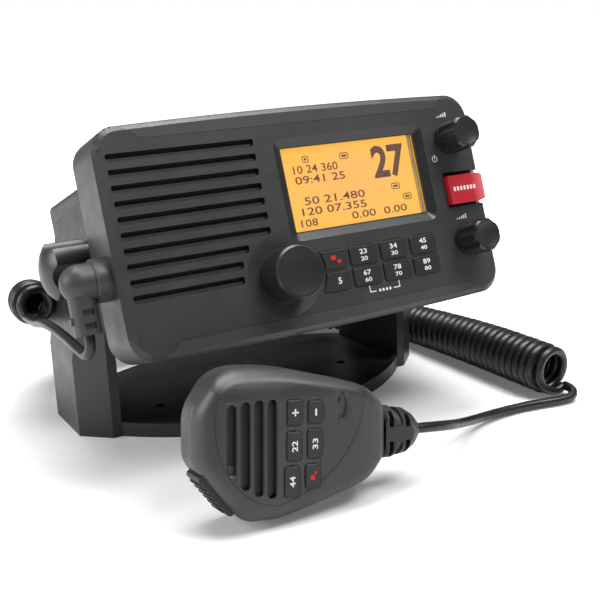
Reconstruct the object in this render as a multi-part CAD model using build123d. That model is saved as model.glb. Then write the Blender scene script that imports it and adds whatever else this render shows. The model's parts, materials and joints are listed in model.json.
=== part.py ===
from build123d import *
import math
import os

os.makedirs("parts", exist_ok=True)

# A fixed-mount VHF marine radio in its tilting bracket, with a hand microphone on a curly cord.
# Frame: +Z up, the face looks to -Y, the origin is on the surface that the bracket stands on,
# at the centre of the four fixing holes. All sizes are in millimetres.

# ------------------------------------------------------------------ sizes: tilting
PIVOT_Y = -8.5
PIVOT_Z = 92.7
TILT_BACK = 18.8

# ------------------------------------------------------------------ sizes: radio face
FACE_W = 206.0
FACE_H = 103.8
FACE_BOW = 1.8
FACE_R = 12.3
FACE_REACH = 54.0
FACE_RISE = 2.0
EDGE_BEVEL = 2.8
BEZEL_DEPTH = 31.0
BEZEL_WALL = 2.5
FRONT_WALL = 3.0
LEDGE_W = 2.5
LEDGE_T = 2.5
BOSS_U = 93.5
BOSS_V = 43.0
BOSS_R = 4.0
TRIM_T = 2.0
TRIM_GAP = 0.15
TRIM_HALF = 80.5
TRIM_V = 45.3
TRIM_SLOPE = 0.73

# ------------------------------------------------------------------ sizes: speaker
SLOT_LEFT = -98.1
SLOT_RIGHT = -25.9
SLOT_TOP_V = 38.0
SLOT_PITCH = 6.92
SLOT_COUNT = 10
SLOT_H = 3.6
SLOT_OPEN_H = 2.0
SLOT_LEDGE = 1.6
LOW_SLOT_RIGHT = [-38.7, -43.0, -44.0]
CLOTH_T = 0.5
CLOTH_MARGIN = 1.2
SPEAKER_U = -62.0
SPEAKER_V = 7.0
SPEAKER_R = 30.0
SPEAKER_DEPTH = 20.0
SPEAKER_RIM = 4.5
MAGNET_R = 15.0
MAGNET_T = 8.0
CONE_T = 0.5

# ------------------------------------------------------------------ sizes: display
LCD_U0 = -11.5
LCD_U1 = 65.8
LCD_V0 = -6.5
LCD_V1 = 33.9
LCD_BEVEL_W = 4.6
LCD_LIP_T = 0.6
LCD_R = 4.5
WINDOW_LAP = 2.0
WINDOW_T = 1.8
PANEL_LAP = 1.5

# ------------------------------------------------------------------ sizes: keys
KEY_W = 15.5
KEY_H = 8.9
KEY_R = 1.5
KEY_PROUD = 0.8
KEY_TRAVEL = 0.8
KEY_GAP = 0.25
KEY_FLANGE = 0.8
KEY_FLANGE_T = 1.0
KEY_U = [3.4, 21.0, 39.0, 57.1]
KEY_V = [-22.2, -32.7]
SEAT_GAP = 0.05
SWEEP_R = 21.9
MAT_T = 1.5
MAT_MARGIN = 1.2

# ------------------------------------------------------------------ sizes: knobs
SMALL_U = 86.3
VOLUME_V = 29.0
SQUELCH_V = -24.1
SMALL_R = 8.45
SMALL_H = 16.5
SMALL_STEM_R = 2.5
FLUTES = 7
FLUTE_R = 3.4
FLUTE_DEPTH = 1.1
CHANNEL_U = -23.3
CHANNEL_V = -25.5
CHANNEL_R = 12.5
CHANNEL_H = 16.0
CHANNEL_STEM_R = 3.0
PUSH_TRAVEL = 1.0
KNOB_GAP = 0.4
KNOB_BEVEL = 1.0
DISH_DEPTH = 1.0
DISH_RIM = 1.8
RUN_GAP = 0.05
STEM_HOLE_GAP = 0.6
WELL_R = 19.5
WELL_DEPTH = 1.4
WELL_FLOOR_R = 13.4
ENCODER_HALF = 7.0
ENCODER_GAP = 0.7

# ------------------------------------------------------------------ sizes: boards
BOARD_T = 1.6
BOARD_REACH = 41.6
BOARD_U0 = -32.0
BOARD_U1 = 98.0
BOARD_HALF_H = 44.0
BOARD_GAP = 0.6

# ------------------------------------------------------------------ sizes: distress key and cover
WELL_U0 = 78.5
WELL_V0 = -6.5
WELL_V1 = 11.5
TRAY_DEPTH = 4.5
TRAY_FLOOR = 5.5
TRAY_WALL = 2.5
COVER_U0 = 78.9
COVER_V0 = -5.4
COVER_V1 = 9.4
COVER_PROUD = 3.0
COVER_WALL = 1.4
COVER_LID = 1.8
BARREL_R = 5.0
BARREL_U = 98.6
BARREL_GAP = 0.4
HINGE_R = 1.0
HINGE_GAP = 0.06
HINGE_BITE = 1.5
DKEY_U0 = 81.5
DKEY_U1 = 91.8
DKEY_V0 = -2.6
DKEY_V1 = 6.6
DKEY_UP = 1.7
DKEY_TRAVEL = 1.0

# ------------------------------------------------------------------ sizes: chassis
CHASSIS_W = 167.0
CHASSIS_H = 86.0
CHASSIS_D = 119.0
CHASSIS_WALL = 3.0
CHASSIS_R = 4.0
FLANGE_T = 3.0
FLANGE_GAP = 0.2
GASKET_T = 1.0
FIN_T = 2.0
FIN_DEPTH = 6.0
FIN_PITCH = 6.0
FIN_COUNT = 9
FIN_H = 74.0
INSERT_R = 4.5
INSERT_L = 11.0
INSERT_BOSS_R = 7.5
SCREW_R = 1.45
SCREW_HEAD_R = 3.0
SCREW_HEAD_T = 2.4
SCREW_L = 14.0
RF_BOARD_MARGIN = 8.5
RF_BOARD_D = 96.0
RF_POST_H = 4.0
RF_POST_R = 3.5
ANTENNA_U = 48.0
ANTENNA_V = 6.0
ANTENNA_FLANGE = 25.0
ANTENNA_FLANGE_T = 2.5
ANTENNA_R = 7.9
ANTENNA_BORE_R = 6.2
ANTENNA_L = 13.0
INLET_U = -48.0
INLET_V = -6.0
INLET_R = 6.5
INLET_BORE_R = 2.6
INLET_L = 9.0
INLET_NECK_R = 5.0

# ------------------------------------------------------------------ sizes: bracket
ARM_GAP = 3.0
ARM_FLAT_T = 5.0
ARM_T = 18.5
ARM_TOP_T = 10.0
ARM_IN = CHASSIS_W / 2 + ARM_GAP
ARM_FACET = ARM_IN + ARM_FLAT_T
ARM_OUT = ARM_IN + ARM_T
ARM_TOP_OUT = ARM_IN + ARM_TOP_T
ARM_LEAN_Z0 = 41.0
ARM_LEAN_Z1 = 97.0
ARM_FRONT_Y = -3.0
ARM_FACET_SETBACK = 13.0
ARM_REAR_Y = 46.5
ARM_REAR_Z = 105.0
CREST_Y = 3.0
CREST_Z = 123.5
ARM_NOSE_R = 20.0
NOSE_WRAP = 50.0
NECK_Z = 50.0
ARM_WALL = 3.0
BASE_T = 4.0
BASE_REAR_Y = 90.0
BASE_REAR_SIDE_Y = 64.0
CHEEK_T = 3.0
CHEEK_H = 24.0
CHEEK_END_Y = 61.0
CHEEK_END_H = 8.0
LIP_H = 7.5
LIP_T = 3.5
LIP_ARC_R = 122.0
LIP_FRONT_Y = -39.0
HOLE_DX = 116.0
HOLE_DY = 30.0
HOLE_R = 2.6
SPOT_R = 15.5
SPOT_T = 9.4
SPOT_X = ARM_IN + SPOT_T

# ------------------------------------------------------------------ sizes: clamp knobs
CLAMP_R = 14.0
CLAMP_GRIP_L = 18.7
CLAMP_DOME = 5.0
CLAMP_SCALLOP_R = 9.0
CLAMP_SCALLOP_AT = 19.6
CLAMP_WASHER_R = 12.0
CLAMP_WASHER_T = 1.3
CLAMP_STUD_R = 2.5
CLAMP_GAP = 0.05
FRICTION_R = 11.0
FRICTION_GAP = 0.2
STUD_HOLE_GAP = 0.4

# ------------------------------------------------------------------ sizes: microphone plug
PLUG_V = -12.2
PLUG_SETBACK = 15.5
SOCKET_R = 8.0
SOCKET_BORE_R = 6.0
SOCKET_FLANGE_R = 8.9
SOCKET_FLANGE_T = 2.0
SOCKET_L = 8.0
COLLAR_R = 10.0
COLLAR_L = 7.0
NOSE_R = 5.9
NOSE_L = 5.0
ELBOW_R = 8.5
ELBOW_OUT = 12.5
ELBOW_X = -FACE_W / 2 - ELBOW_OUT
NECK_R = 6.2
NECK_L = 22.9
NECK_SLOT_W = 5.0
NECK_SLOT_H = 2.6
NECK_BOSS_R = 1.7

# ------------------------------------------------------------------ sizes: hand microphone
MIC_O = (-97.2, -111.4, 36.52)
MIC_YAW = -5.67
MIC_DOWN = 7.64
MIC_LEAN = 11.22
MIC_L = 88.3
MIC_HALF = 32.3
MIC_LOW = 31.3
MIC_FRONT = 13.5
MIC_REAR = 12.0
MIC_WALL = 2.0
MIC_ROUND = 5.0
MIC_NECK_TOP = 12.8
MIC_NECK_LOW = 9.0
MIC_NECK_BORE_R = 6.0
MIC_SLOT_A = [14.3, 20.3, 26.2, 32.1]
MIC_SLOT_B0 = [-10.3, -16.6, -19.7, -21.1]
MIC_SLOT_B1 = [18.8, 19.4, 19.8, 19.7]
MIC_SLOT_W = 3.4
MIC_KEY_W = 6.8
MIC_KEY_A = [42.1, 51.6, 41.9, 51.3, 40.9, 50.4]
MIC_KEY_B = [13.8, 13.4, -0.2, 0.2, -14.9, -13.4]
MIC_KEY_H = [10.4, 9.4, 12.0, 12.2, 12.6, 10.2]
MIC_KEY_R = 1.2
MIC_KEY_PROUD = 0.6
MIC_KEY_TRAVEL = 0.6
MIC_KEY_GAP = 0.2
MIC_KEY_FLANGE = 0.5
MIC_HOLE_A = 63.2
MIC_HOLE_B = 17.8
MIC_HOLE_R = 0.9
LEAF_A = 64.0
LEAF_B = 15.4
LEAF_W = 5.2
LEAF_H = 12.0
LEAF_DEPTH = 1.0
MIC_SPEAKER_R = 15.5
MIC_SPEAKER_T = 6.0
MIC_SPEAKER_A = 23.5
MIC_BOARD_L = 42.0
MIC_BOARD_W = 34.0
MIC_BOARD_A = 43.0
PTT_HIGH = (0.0, -0.1917 * MIC_LOW)
PTT_LOW = (0.2378 * MIC_L, -MIC_LOW)
PTT_TRAVEL = 1.5
PTT_T = 4.5
PTT_W = 15.0
PTT_SPAN = 22.0
PTT_GAP = 0.3
PTT_PROUD = 2.4
RIB_COUNT = 6
RIB_H = 0.7
STUD_A = 40.0
STUD_R = 4.0
STUD_HEAD_R = 7.5
STUD_L = 6.0
STUD_HEAD_T = 2.5
MIC_SCREW_R = 1.2
MIC_SCREW_HEAD_R = 2.4
MIC_SCREW_HEAD_T = 1.4
MIC_SCREW_AB = [(14.0, 20.0), (14.0, -9.0), (70.0, 16.8), (68.0, -13.5)]
MIC_POST_R = 3.0
RELIEF_R = 11.6
RELIEF_L = 20.3
RELIEF_BITE = 2.5
RELIEF_TIP_R = 3.8

# ------------------------------------------------------------------ sizes: cord
CORD_R = 2.4
COIL_R = 10.25
RADIUS_SHARE = 0.45

LEAD_EXIT_RUN = 4.2
TAIL_EXIT_RUN = 17.0

LEAD_PTS = [
    (ELBOW_X - 0.7, -55.6, 65.8),
    (ELBOW_X - 1.1, -51.9, 63.5),
    (ELBOW_X - 1.6, -44.3, 64.2),
    (-ARM_OUT - 12.6, -31.5, 65.8),
    (-ARM_OUT - 13.2, -12.0, 66.4),
    (-ARM_OUT - 13.6, 6.0, 65.0),
    (-ARM_OUT - 13.0, 22.5, 60.0),
    (-ARM_OUT - 13.0, 38.0, 60.0),
]
COIL_PTS = [
    (-ARM_OUT - 7.6, 38.0, 63.7),
    (-ARM_OUT - 7.6, 50.0, 63.7),
    (-ARM_OUT - 3.4, 62.5, 61.0),
    (-ARM_OUT + 4.5, 77.0, 56.0),
    (-ARM_OUT + 9.4, 94.5, 49.0),
    (-82.0, 108.0, 38.5),
    (-58.0, 112.5, 25.5),
    (-28.0, 111.5, 14.5),
    (8.0, 107.0, 11.0),
    (48.0, 101.0, 10.8),
    (86.0, 86.0, 11.0),
    (ARM_OUT + 12.0, 62.0, 10.8),
    (ARM_OUT + 18.5, 22.0, 10.9),
    (ARM_OUT + 22.5, -14.0, 10.8),
    (ARM_OUT + 24.6, -52.0, 10.9),
    (ARM_OUT + 24.6, -91.0, 10.9),
]
TAIL_PTS = [
    (ARM_OUT + 29.5, -91.0, 5.0),
    (ARM_OUT + 29.5, -97.6, 5.0),
    (ARM_OUT + 24.5, -102.2, 3.0),
    (ARM_OUT + 14.5, -101.0, 2.7),
    (104.0, -97.0, 2.7),
    (86.0, -95.4, 2.8),
    (68.0, -98.5, 4.6),
    (47.5, -109.0, 10.6),
]

# ------------------------------------------------------------------ derived places
BEZEL_BACK = FACE_REACH - BEZEL_DEPTH
WALL_BACK = FACE_REACH - FRONT_WALL
BOARD_BACK = BOARD_REACH - BOARD_T
CHASSIS_BACK = BEZEL_BACK - CHASSIS_D
FLANGE_FRONT = BEZEL_BACK + FLANGE_T
SHAFT_END = BOARD_REACH + 2.0
BARREL_N = FACE_REACH + COVER_PROUD - BARREL_R
TRAY_N = FACE_REACH - TRAY_DEPTH
TRAY_BACK = TRAY_N - TRAY_FLOOR
MOUNT = Pos(0, PIVOT_Y, PIVOT_Z) * Rot(-TILT_BACK, 0, 0)
MIC = Pos(*MIC_O) * Rot(0, 0, MIC_YAW) * Rot(0, MIC_DOWN, 0) * Rot(-MIC_LEAN, 0, 0)

made = []


def save(name, shape, place=None):
    """Puts one piece, or a list of identical ones, in place and writes its STEP file."""
    if isinstance(shape, list):
        solids = [place * piece for piece in shape] if place is not None else shape
        shape = Compound(children=solids)
    elif place is not None:
        shape = place * shape
    shape.label = name
    export_step(shape, "parts/" + name + ".step")
    made.append(name)
    return shape


def front(n):
    """A plane that faces the user, n in front of the tilting axis."""
    return Plane.XZ.offset(n)


def slab(sketch, n_back, n_front):
    """A piece with a constant outline, between two depths."""
    return extrude(front(n_back) * sketch, amount=n_front - n_back)


def rect(u0, u1, v0, v1, r=0.0):
    """A rectangle on the face, from the face's centre."""
    if r > 0:
        shape = RectangleRounded(u1 - u0, v1 - v0, r)
    else:
        shape = Rectangle(u1 - u0, v1 - v0)
    return Pos((u0 + u1) / 2, (v0 + v1) / 2 + FACE_RISE) * shape


def disc(u, v, r):
    """A circle on the face, from the face's centre."""
    return Pos(u, v + FACE_RISE) * Circle(r)


def peg(u, v, r, n_back, n_front):
    """A round piece square to the face."""
    return slab(disc(u, v, r), n_back, n_front)


def rod_x(y, z, r, x0, x1):
    """A round piece along X."""
    return Pos((x0 + x1) / 2, y, z) * Rot(0, 90, 0) * Cylinder(r, abs(x1 - x0))


def face_outline(inset=0.0):
    """The face's outline: straight sides, and a top and bottom that bow out a little."""
    half_w = FACE_W / 2 - inset
    half_h = FACE_H / 2 - inset
    right = Line((half_w, -half_h), (half_w, half_h))
    top = ThreePointArc((half_w, half_h), (0, half_h + FACE_BOW), (-half_w, half_h))
    left = Line((-half_w, half_h), (-half_w, -half_h))
    bottom = ThreePointArc((-half_w, -half_h), (0, -half_h - FACE_BOW), (half_w, -half_h))
    shape = make_face(Curve() + [right, top, left, bottom])
    shape = fillet(shape.vertices(), FACE_R - inset)
    return Pos(0, FACE_RISE) * shape


def bevelled_front():
    """The whole face block with its bevelled front edge."""
    block = slab(face_outline(), BEZEL_BACK, FACE_REACH)
    rim = block.faces().sort_by(Axis.Y)[0].edges()
    return chamfer(rim, EDGE_BEVEL)


def trim_region(sign, grow):
    """The strip along the top or the bottom of the face, with slanted ends."""
    rise = 12.4
    run = rise / TRIM_SLOPE
    half = TRIM_HALF + grow
    v = TRIM_V - grow
    points = [
        (half, sign * v),
        (half + run, sign * (v + rise)),
        (-half - run, sign * (v + rise)),
        (-half, sign * v),
    ]
    return Pos(0, FACE_RISE) * make_face(Polyline(*points, close=True))


def slot_shape(index, height, drop, grow=0.0):
    """One speaker slot, with round ends."""
    short = index - (SLOT_COUNT - len(LOW_SLOT_RIGHT))
    right = LOW_SLOT_RIGHT[short] if short >= 0 else SLOT_RIGHT
    v = SLOT_TOP_V - SLOT_PITCH * index - drop
    length = right - SLOT_LEFT
    middle = (right + SLOT_LEFT) / 2
    return Pos(middle, v + FACE_RISE) * SlotOverall(length + 2 * grow, height + 2 * grow)


def key_shape(column, row, grow):
    """A key's outline; the first column is cut to the sweep round the channel knob."""
    u = KEY_U[column]
    v = KEY_V[row]
    half_w = KEY_W / 2 + grow
    half_h = KEY_H / 2 + grow
    shape = rect(u - half_w, u + half_w, v - half_h, v + half_h, KEY_R + grow)
    if column == 0:
        shape -= disc(CHANNEL_U, CHANNEL_V, SWEEP_R - grow)
    return shape


def lcd_rect(grow, r=0.0):
    """The display's opening, grown on every side."""
    return rect(LCD_U0 - grow, LCD_U1 + grow, LCD_V0 - grow, LCD_V1 + grow, r)


# ------------------------------------------------------------------ front bezel and trims
whole_face = bevelled_front()
bezel = whole_face - slab(face_outline(BEZEL_WALL), BEZEL_BACK, WALL_BACK)
ledge_back = FLANGE_FRONT + GASKET_T
ledge = face_outline(BEZEL_WALL - 0.2) - face_outline(BEZEL_WALL + LEDGE_W)
bezel += slab(ledge, ledge_back, ledge_back + LEDGE_T)
boss_spots = [(BOSS_U, BOSS_V), (-BOSS_U, BOSS_V), (BOSS_U, -BOSS_V), (-BOSS_U, -BOSS_V)]
for u, v in boss_spots:
    bezel += peg(u, v, BOSS_R, FLANGE_FRONT, WALL_BACK + 0.5)
bezel += slab(
    rect(WELL_U0 - TRAY_WALL, FACE_W / 2 - BEZEL_WALL + 0.5, WELL_V0 - TRAY_WALL, WELL_V1 + TRAY_WALL),
    TRAY_BACK,
    WALL_BACK + 0.5,
)
for u, v in boss_spots:
    bezel -= peg(u, v, SCREW_R + RUN_GAP, FLANGE_FRONT - 1, BEZEL_BACK + SCREW_L + 1)
for sign in (1, -1):
    bezel -= slab(trim_region(sign, 0.0), FACE_REACH - TRIM_T, FACE_REACH + 1)
for index in range(SLOT_COUNT):
    open_drop = -(SLOT_H - SLOT_OPEN_H) / 2
    bezel -= slab(slot_shape(index, SLOT_H, 0.0), FACE_REACH - SLOT_LEDGE, FACE_REACH + 1)
    bezel -= slab(slot_shape(index, SLOT_OPEN_H, open_drop), WALL_BACK - 1, FACE_REACH + 1)
bevel_outer = front(FACE_REACH + 0.01) * lcd_rect(LCD_BEVEL_W, LCD_R)
bevel_inner = front(WALL_BACK + LCD_LIP_T) * lcd_rect(0.6, 1.0)
bezel -= loft([bevel_outer, bevel_inner])
bezel -= slab(lcd_rect(0.0, 0.8), WALL_BACK - 1, FACE_REACH)
for row in range(len(KEY_V)):
    for column in range(len(KEY_U)):
        bezel -= slab(key_shape(column, row, KEY_GAP), WALL_BACK - 1, FACE_REACH + 1)
well_top = front(FACE_REACH + 0.01) * disc(CHANNEL_U, CHANNEL_V, WELL_R)
well_floor = front(FACE_REACH - WELL_DEPTH) * disc(CHANNEL_U, CHANNEL_V, WELL_FLOOR_R)
bezel -= loft([well_top, well_floor])
bezel -= peg(CHANNEL_U, CHANNEL_V, CHANNEL_STEM_R + STEM_HOLE_GAP, WALL_BACK - 1, FACE_REACH)
for v in (VOLUME_V, SQUELCH_V):
    bezel -= peg(SMALL_U, v, SMALL_STEM_R + STEM_HOLE_GAP, WALL_BACK - 1, FACE_REACH + 1)
bezel -= slab(rect(WELL_U0, FACE_W / 2 + 1, WELL_V0, WELL_V1), TRAY_N, FACE_REACH + 1)
barrel_len = WELL_V1 - WELL_V0
barrel_mid = (WELL_V0 + WELL_V1) / 2 + FACE_RISE
bezel -= Pos(BARREL_U, -BARREL_N, barrel_mid) * Cylinder(BARREL_R + BARREL_GAP, barrel_len)
bezel -= Pos(BARREL_U, -BARREL_N, barrel_mid) * Cylinder(HINGE_R, barrel_len + 2 * HINGE_BITE)
bezel -= slab(
    rect(DKEY_U0 - KEY_GAP, DKEY_U1 + KEY_GAP, DKEY_V0 - KEY_GAP, DKEY_V1 + KEY_GAP, 1.0),
    TRAY_BACK - 1,
    TRAY_N + 1,
)
plug_y = -(FACE_REACH - PLUG_SETBACK)
plug_z = PLUG_V + FACE_RISE
side_in = -(FACE_W / 2 - BEZEL_WALL)
bezel -= rod_x(plug_y, plug_z, SOCKET_R, -FACE_W / 2 - 1, side_in + 1)
save("front_bezel", bezel, MOUNT)

for name, sign in (("top_trim", 1), ("bottom_trim", -1)):
    strip = slab(trim_region(sign, -TRIM_GAP), FACE_REACH - TRIM_T, FACE_REACH + 1)
    save(name, whole_face & strip, MOUNT)

# ------------------------------------------------------------------ speaker behind the slots
cloth_u1 = SLOT_RIGHT + CLOTH_MARGIN
slot_low_v = SLOT_TOP_V - SLOT_PITCH * (SLOT_COUNT - 1)
cloth_v0 = slot_low_v - SLOT_H / 2 - CLOTH_MARGIN
cloth_v1 = SLOT_TOP_V + SLOT_H / 2 + CLOTH_MARGIN
cloth_sketch = rect(SLOT_LEFT - CLOTH_MARGIN, cloth_u1, cloth_v0, cloth_v1, 1.0)
cloth_sketch -= disc(CHANNEL_U, CHANNEL_V, WELL_FLOOR_R)
cloth = slab(cloth_sketch, WALL_BACK - CLOTH_T, WALL_BACK)
cloth -= slab(lcd_rect(WINDOW_LAP + 0.3), WALL_BACK - 1, WALL_BACK + 1)
for u, v in boss_spots:
    cloth -= peg(u, v, BOSS_R + 0.2, WALL_BACK - 1, WALL_BACK + 1)
save("speaker_cloth", cloth, MOUNT)

cone_front = WALL_BACK - CLOTH_T
basket_front = cone_front - CONE_T
basket_back = basket_front - SPEAKER_DEPTH
throat_n = basket_back + MAGNET_T
basket_ring = disc(SPEAKER_U, SPEAKER_V, SPEAKER_R) - disc(SPEAKER_U, SPEAKER_V, SPEAKER_R - SPEAKER_RIM)
basket = slab(basket_ring, basket_front - 2.0, basket_front)
shell_out = loft([
    front(basket_front - 2.0) * disc(SPEAKER_U, SPEAKER_V, SPEAKER_R - 1.0),
    front(throat_n) * disc(SPEAKER_U, SPEAKER_V, MAGNET_R),
])
shell_in = loft([
    front(basket_front - 2.0) * disc(SPEAKER_U, SPEAKER_V, SPEAKER_R - SPEAKER_RIM),
    front(throat_n) * disc(SPEAKER_U, SPEAKER_V, MAGNET_R - SPEAKER_RIM + 1.0),
])
basket += shell_out - shell_in
basket += peg(SPEAKER_U, SPEAKER_V, MAGNET_R + 2.0, basket_back, throat_n)
save("speaker_basket", basket, MOUNT)

cone_rim = disc(SPEAKER_U, SPEAKER_V, SPEAKER_R - 1.0) - disc(SPEAKER_U, SPEAKER_V, SPEAKER_R - SPEAKER_RIM - 1.0)
cone = slab(cone_rim, basket_front, cone_front)
cone_wide = SPEAKER_R - SPEAKER_RIM - 1.0
cone_narrow = 6.0
cone_floor = throat_n + 2.0
cone_out = loft([
    front(basket_front) * disc(SPEAKER_U, SPEAKER_V, cone_wide + 0.2),
    front(cone_floor) * disc(SPEAKER_U, SPEAKER_V, cone_narrow),
])
cone_in = loft([
    front(basket_front) * disc(SPEAKER_U, SPEAKER_V, cone_wide - 0.6),
    front(cone_floor + 0.8) * disc(SPEAKER_U, SPEAKER_V, cone_narrow),
])
cone += slab(cone_rim, basket_front, cone_front)
cone += cone_out - cone_in
save("speaker_cone", cone, MOUNT)

# ------------------------------------------------------------------ display
window = slab(lcd_rect(WINDOW_LAP, 1.5), WALL_BACK - WINDOW_T, WALL_BACK)
save("display_window", window, MOUNT)
panel = slab(lcd_rect(PANEL_LAP), BOARD_REACH, WALL_BACK - WINDOW_T)
save("display_panel", panel, MOUNT)

# ------------------------------------------------------------------ keys and what is behind them
number = 0
flange_front = WALL_BACK - SEAT_GAP
for row in range(len(KEY_V)):
    for column in range(len(KEY_U)):
        number += 1
        key = slab(key_shape(column, row, 0.0), flange_front - KEY_FLANGE_T, FACE_REACH + KEY_PROUD)
        top_edges = key.faces().sort_by(Axis.Y)[0].edges()
        key = chamfer(top_edges, 0.3)
        key += slab(key_shape(column, row, KEY_FLANGE), flange_front - KEY_FLANGE_T, flange_front)
        save("key_" + str(number), key, MOUNT)

mat_front = flange_front - KEY_FLANGE_T - KEY_TRAVEL - 0.1
mat_half_w = KEY_W / 2 + MAT_MARGIN
mat_half_h = KEY_H / 2 + MAT_MARGIN
mat_outer = rect(
    KEY_U[0] - mat_half_w + 3.0, KEY_U[-1] + mat_half_w, KEY_V[-1] - mat_half_h, KEY_V[0] + mat_half_h, 1.5
)
mat_inner = rect(
    KEY_U[0] - mat_half_w + 4.5, KEY_U[-1] + mat_half_w - 1.5, KEY_V[-1] - mat_half_h + 1.5,
    KEY_V[0] + mat_half_h - 1.5
)
mat = slab(mat_outer, BOARD_REACH, mat_front) - slab(mat_inner, BOARD_REACH, mat_front - MAT_T)
save("key_mat", mat, MOUNT)

board = slab(rect(BOARD_U0, BOARD_U1, -BOARD_HALF_H, BOARD_HALF_H, 2.0), BOARD_BACK, BOARD_REACH)
for u, v in boss_spots:
    board -= peg(u, v, BOSS_R + BOARD_GAP, BOARD_BACK - 1, BOARD_REACH + 1)
board -= peg(SPEAKER_U, SPEAKER_V, SPEAKER_R + BOARD_GAP, BOARD_BACK - 1, BOARD_REACH + 1)
save("main_board", board, MOUNT)


def encoder(u, v, stem_r):
    """A rotary control on the board, with a bore for its stem."""
    half = ENCODER_HALF
    body = slab(rect(u - half, u + half, v - half, v + half, 1.0), BOARD_REACH, WALL_BACK - ENCODER_GAP)
    return body - peg(u, v, stem_r + RUN_GAP, BOARD_REACH + 0.8, WALL_BACK)


save("channel_encoder", encoder(CHANNEL_U, CHANNEL_V, CHANNEL_STEM_R), MOUNT)
save("volume_encoder", encoder(SMALL_U, VOLUME_V, SMALL_STEM_R), MOUNT)
save("squelch_control", encoder(SMALL_U, SQUELCH_V, SMALL_STEM_R), MOUNT)


# ------------------------------------------------------------------ knobs
def knob(u, v, r, height, flutes):
    """A round knob with a dished front and, if it has any, grip flutes round its side."""
    n0 = FACE_REACH + KNOB_GAP
    n1 = FACE_REACH + height
    body = peg(u, v, r, n0, n1)
    body = chamfer(body.faces().sort_by(Axis.Y)[0].edges(), KNOB_BEVEL)
    if flutes:
        at = r - FLUTE_DEPTH + FLUTE_R
        for spot in PolarLocations(at, flutes):
            flute = Pos(u, v + FACE_RISE) * spot * Circle(FLUTE_R)
            body -= slab(flute, n0 + 3.0, n1 + 1)
    dish_r = r - DISH_RIM
    ball = (dish_r * dish_r + DISH_DEPTH * DISH_DEPTH) / (2 * DISH_DEPTH)
    body -= Pos(u, -(n1 - DISH_DEPTH + ball), v + FACE_RISE) * Sphere(ball)
    return body


for name, v in (("volume_knob", VOLUME_V), ("squelch_knob", SQUELCH_V)):
    turn = knob(SMALL_U, v, SMALL_R, SMALL_H, FLUTES)
    turn += peg(SMALL_U, v, SMALL_STEM_R, SHAFT_END, FACE_REACH + KNOB_GAP + 1.0)
    save(name, turn, MOUNT)

channel = knob(CHANNEL_U, CHANNEL_V, CHANNEL_R, CHANNEL_H, 0)
shaft_tip = FACE_REACH + CHANNEL_H - 6.0
channel -= peg(CHANNEL_U, CHANNEL_V, CHANNEL_STEM_R + RUN_GAP, FACE_REACH, shaft_tip + RUN_GAP)
save("channel_knob", channel, MOUNT)
save("channel_shaft", peg(CHANNEL_U, CHANNEL_V, CHANNEL_STEM_R, SHAFT_END, shaft_tip), MOUNT)

# ------------------------------------------------------------------ distress key under its cover
flange_n = TRAY_BACK - SEAT_GAP
dkey = slab(rect(DKEY_U0, DKEY_U1, DKEY_V0, DKEY_V1, 1.0), flange_n - KEY_FLANGE_T, TRAY_N + DKEY_UP)
dkey += slab(
    rect(DKEY_U0 - 0.8, DKEY_U1 + 0.8, DKEY_V0 - 0.8, DKEY_V1 + 0.8), flange_n - KEY_FLANGE_T, flange_n
)
save("distress_key", dkey, MOUNT)

cover_n0 = FACE_REACH - 2.2
cover_n1 = FACE_REACH + COVER_PROUD
cover = slab(rect(COVER_U0, BARREL_U, COVER_V0, COVER_V1), cover_n0, cover_n1)
cover -= slab(
    rect(COVER_U0 + COVER_WALL, BARREL_U - BARREL_R, COVER_V0 + COVER_WALL, COVER_V1 - COVER_WALL),
    cover_n0 - 1,
    cover_n1 - COVER_LID,
)
cover_mid = (COVER_V0 + COVER_V1) / 2 + FACE_RISE
cover += Pos(BARREL_U, -BARREL_N, cover_mid) * Cylinder(BARREL_R, COVER_V1 - COVER_V0)
cover -= Pos(BARREL_U, -BARREL_N, cover_mid) * Cylinder(HINGE_R + HINGE_GAP, COVER_V1 - COVER_V0 + 2)
save("distress_cover", cover, MOUNT)
pin = Pos(BARREL_U, -BARREL_N, barrel_mid) * Cylinder(HINGE_R - 0.01, barrel_len + 2 * HINGE_BITE - 0.1)
save("distress_hinge_pin", pin, MOUNT)

# ------------------------------------------------------------------ chassis behind the bezel
half_w = CHASSIS_W / 2
half_h = CHASSIS_H / 2
in_w = half_w - CHASSIS_WALL
in_h = half_h - CHASSIS_WALL
chassis = slab(rect(-half_w, half_w, -half_h, half_h, CHASSIS_R), CHASSIS_BACK, BEZEL_BACK)
chassis += slab(face_outline(BEZEL_WALL + FLANGE_GAP), BEZEL_BACK, FLANGE_FRONT)
inner = rect(-in_w, in_w, -in_h, in_h, CHASSIS_R - 1.0)
chassis -= slab(inner, CHASSIS_BACK + CHASSIS_WALL, FLANGE_FRONT + 1)
for side in (1, -1):
    chassis += rod_x(0, 0, INSERT_BOSS_R, side * (in_w + 0.5), side * (half_w - INSERT_L - 1.5))
    chassis -= rod_x(0, 0, INSERT_R, side * (half_w + 1), side * (half_w - INSERT_L))
for u, v in boss_spots:
    chassis -= peg(u, v, SCREW_R + 0.3, BEZEL_BACK - 1, FLANGE_FRONT + 1)
for index in range(FIN_COUNT):
    x = (index - (FIN_COUNT - 1) / 2) * FIN_PITCH
    fin = rect(x - FIN_T / 2, x + FIN_T / 2, -FIN_H / 2, FIN_H / 2)
    chassis += slab(fin, CHASSIS_BACK - FIN_DEPTH, CHASSIS_BACK + 0.5)
rf_front = BEZEL_BACK - 8.0
rf_board_w = CHASSIS_W - 2 * RF_BOARD_MARGIN
rf_posts = []
for side in (1, -1):
    for n in (rf_front - RF_POST_R - 2.0, rf_front - RF_BOARD_D + RF_POST_R + 2.0):
        rf_posts.append((side * (rf_board_w / 2 - RF_POST_R - 2.0), n))
floor_z = FACE_RISE - in_h
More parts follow.
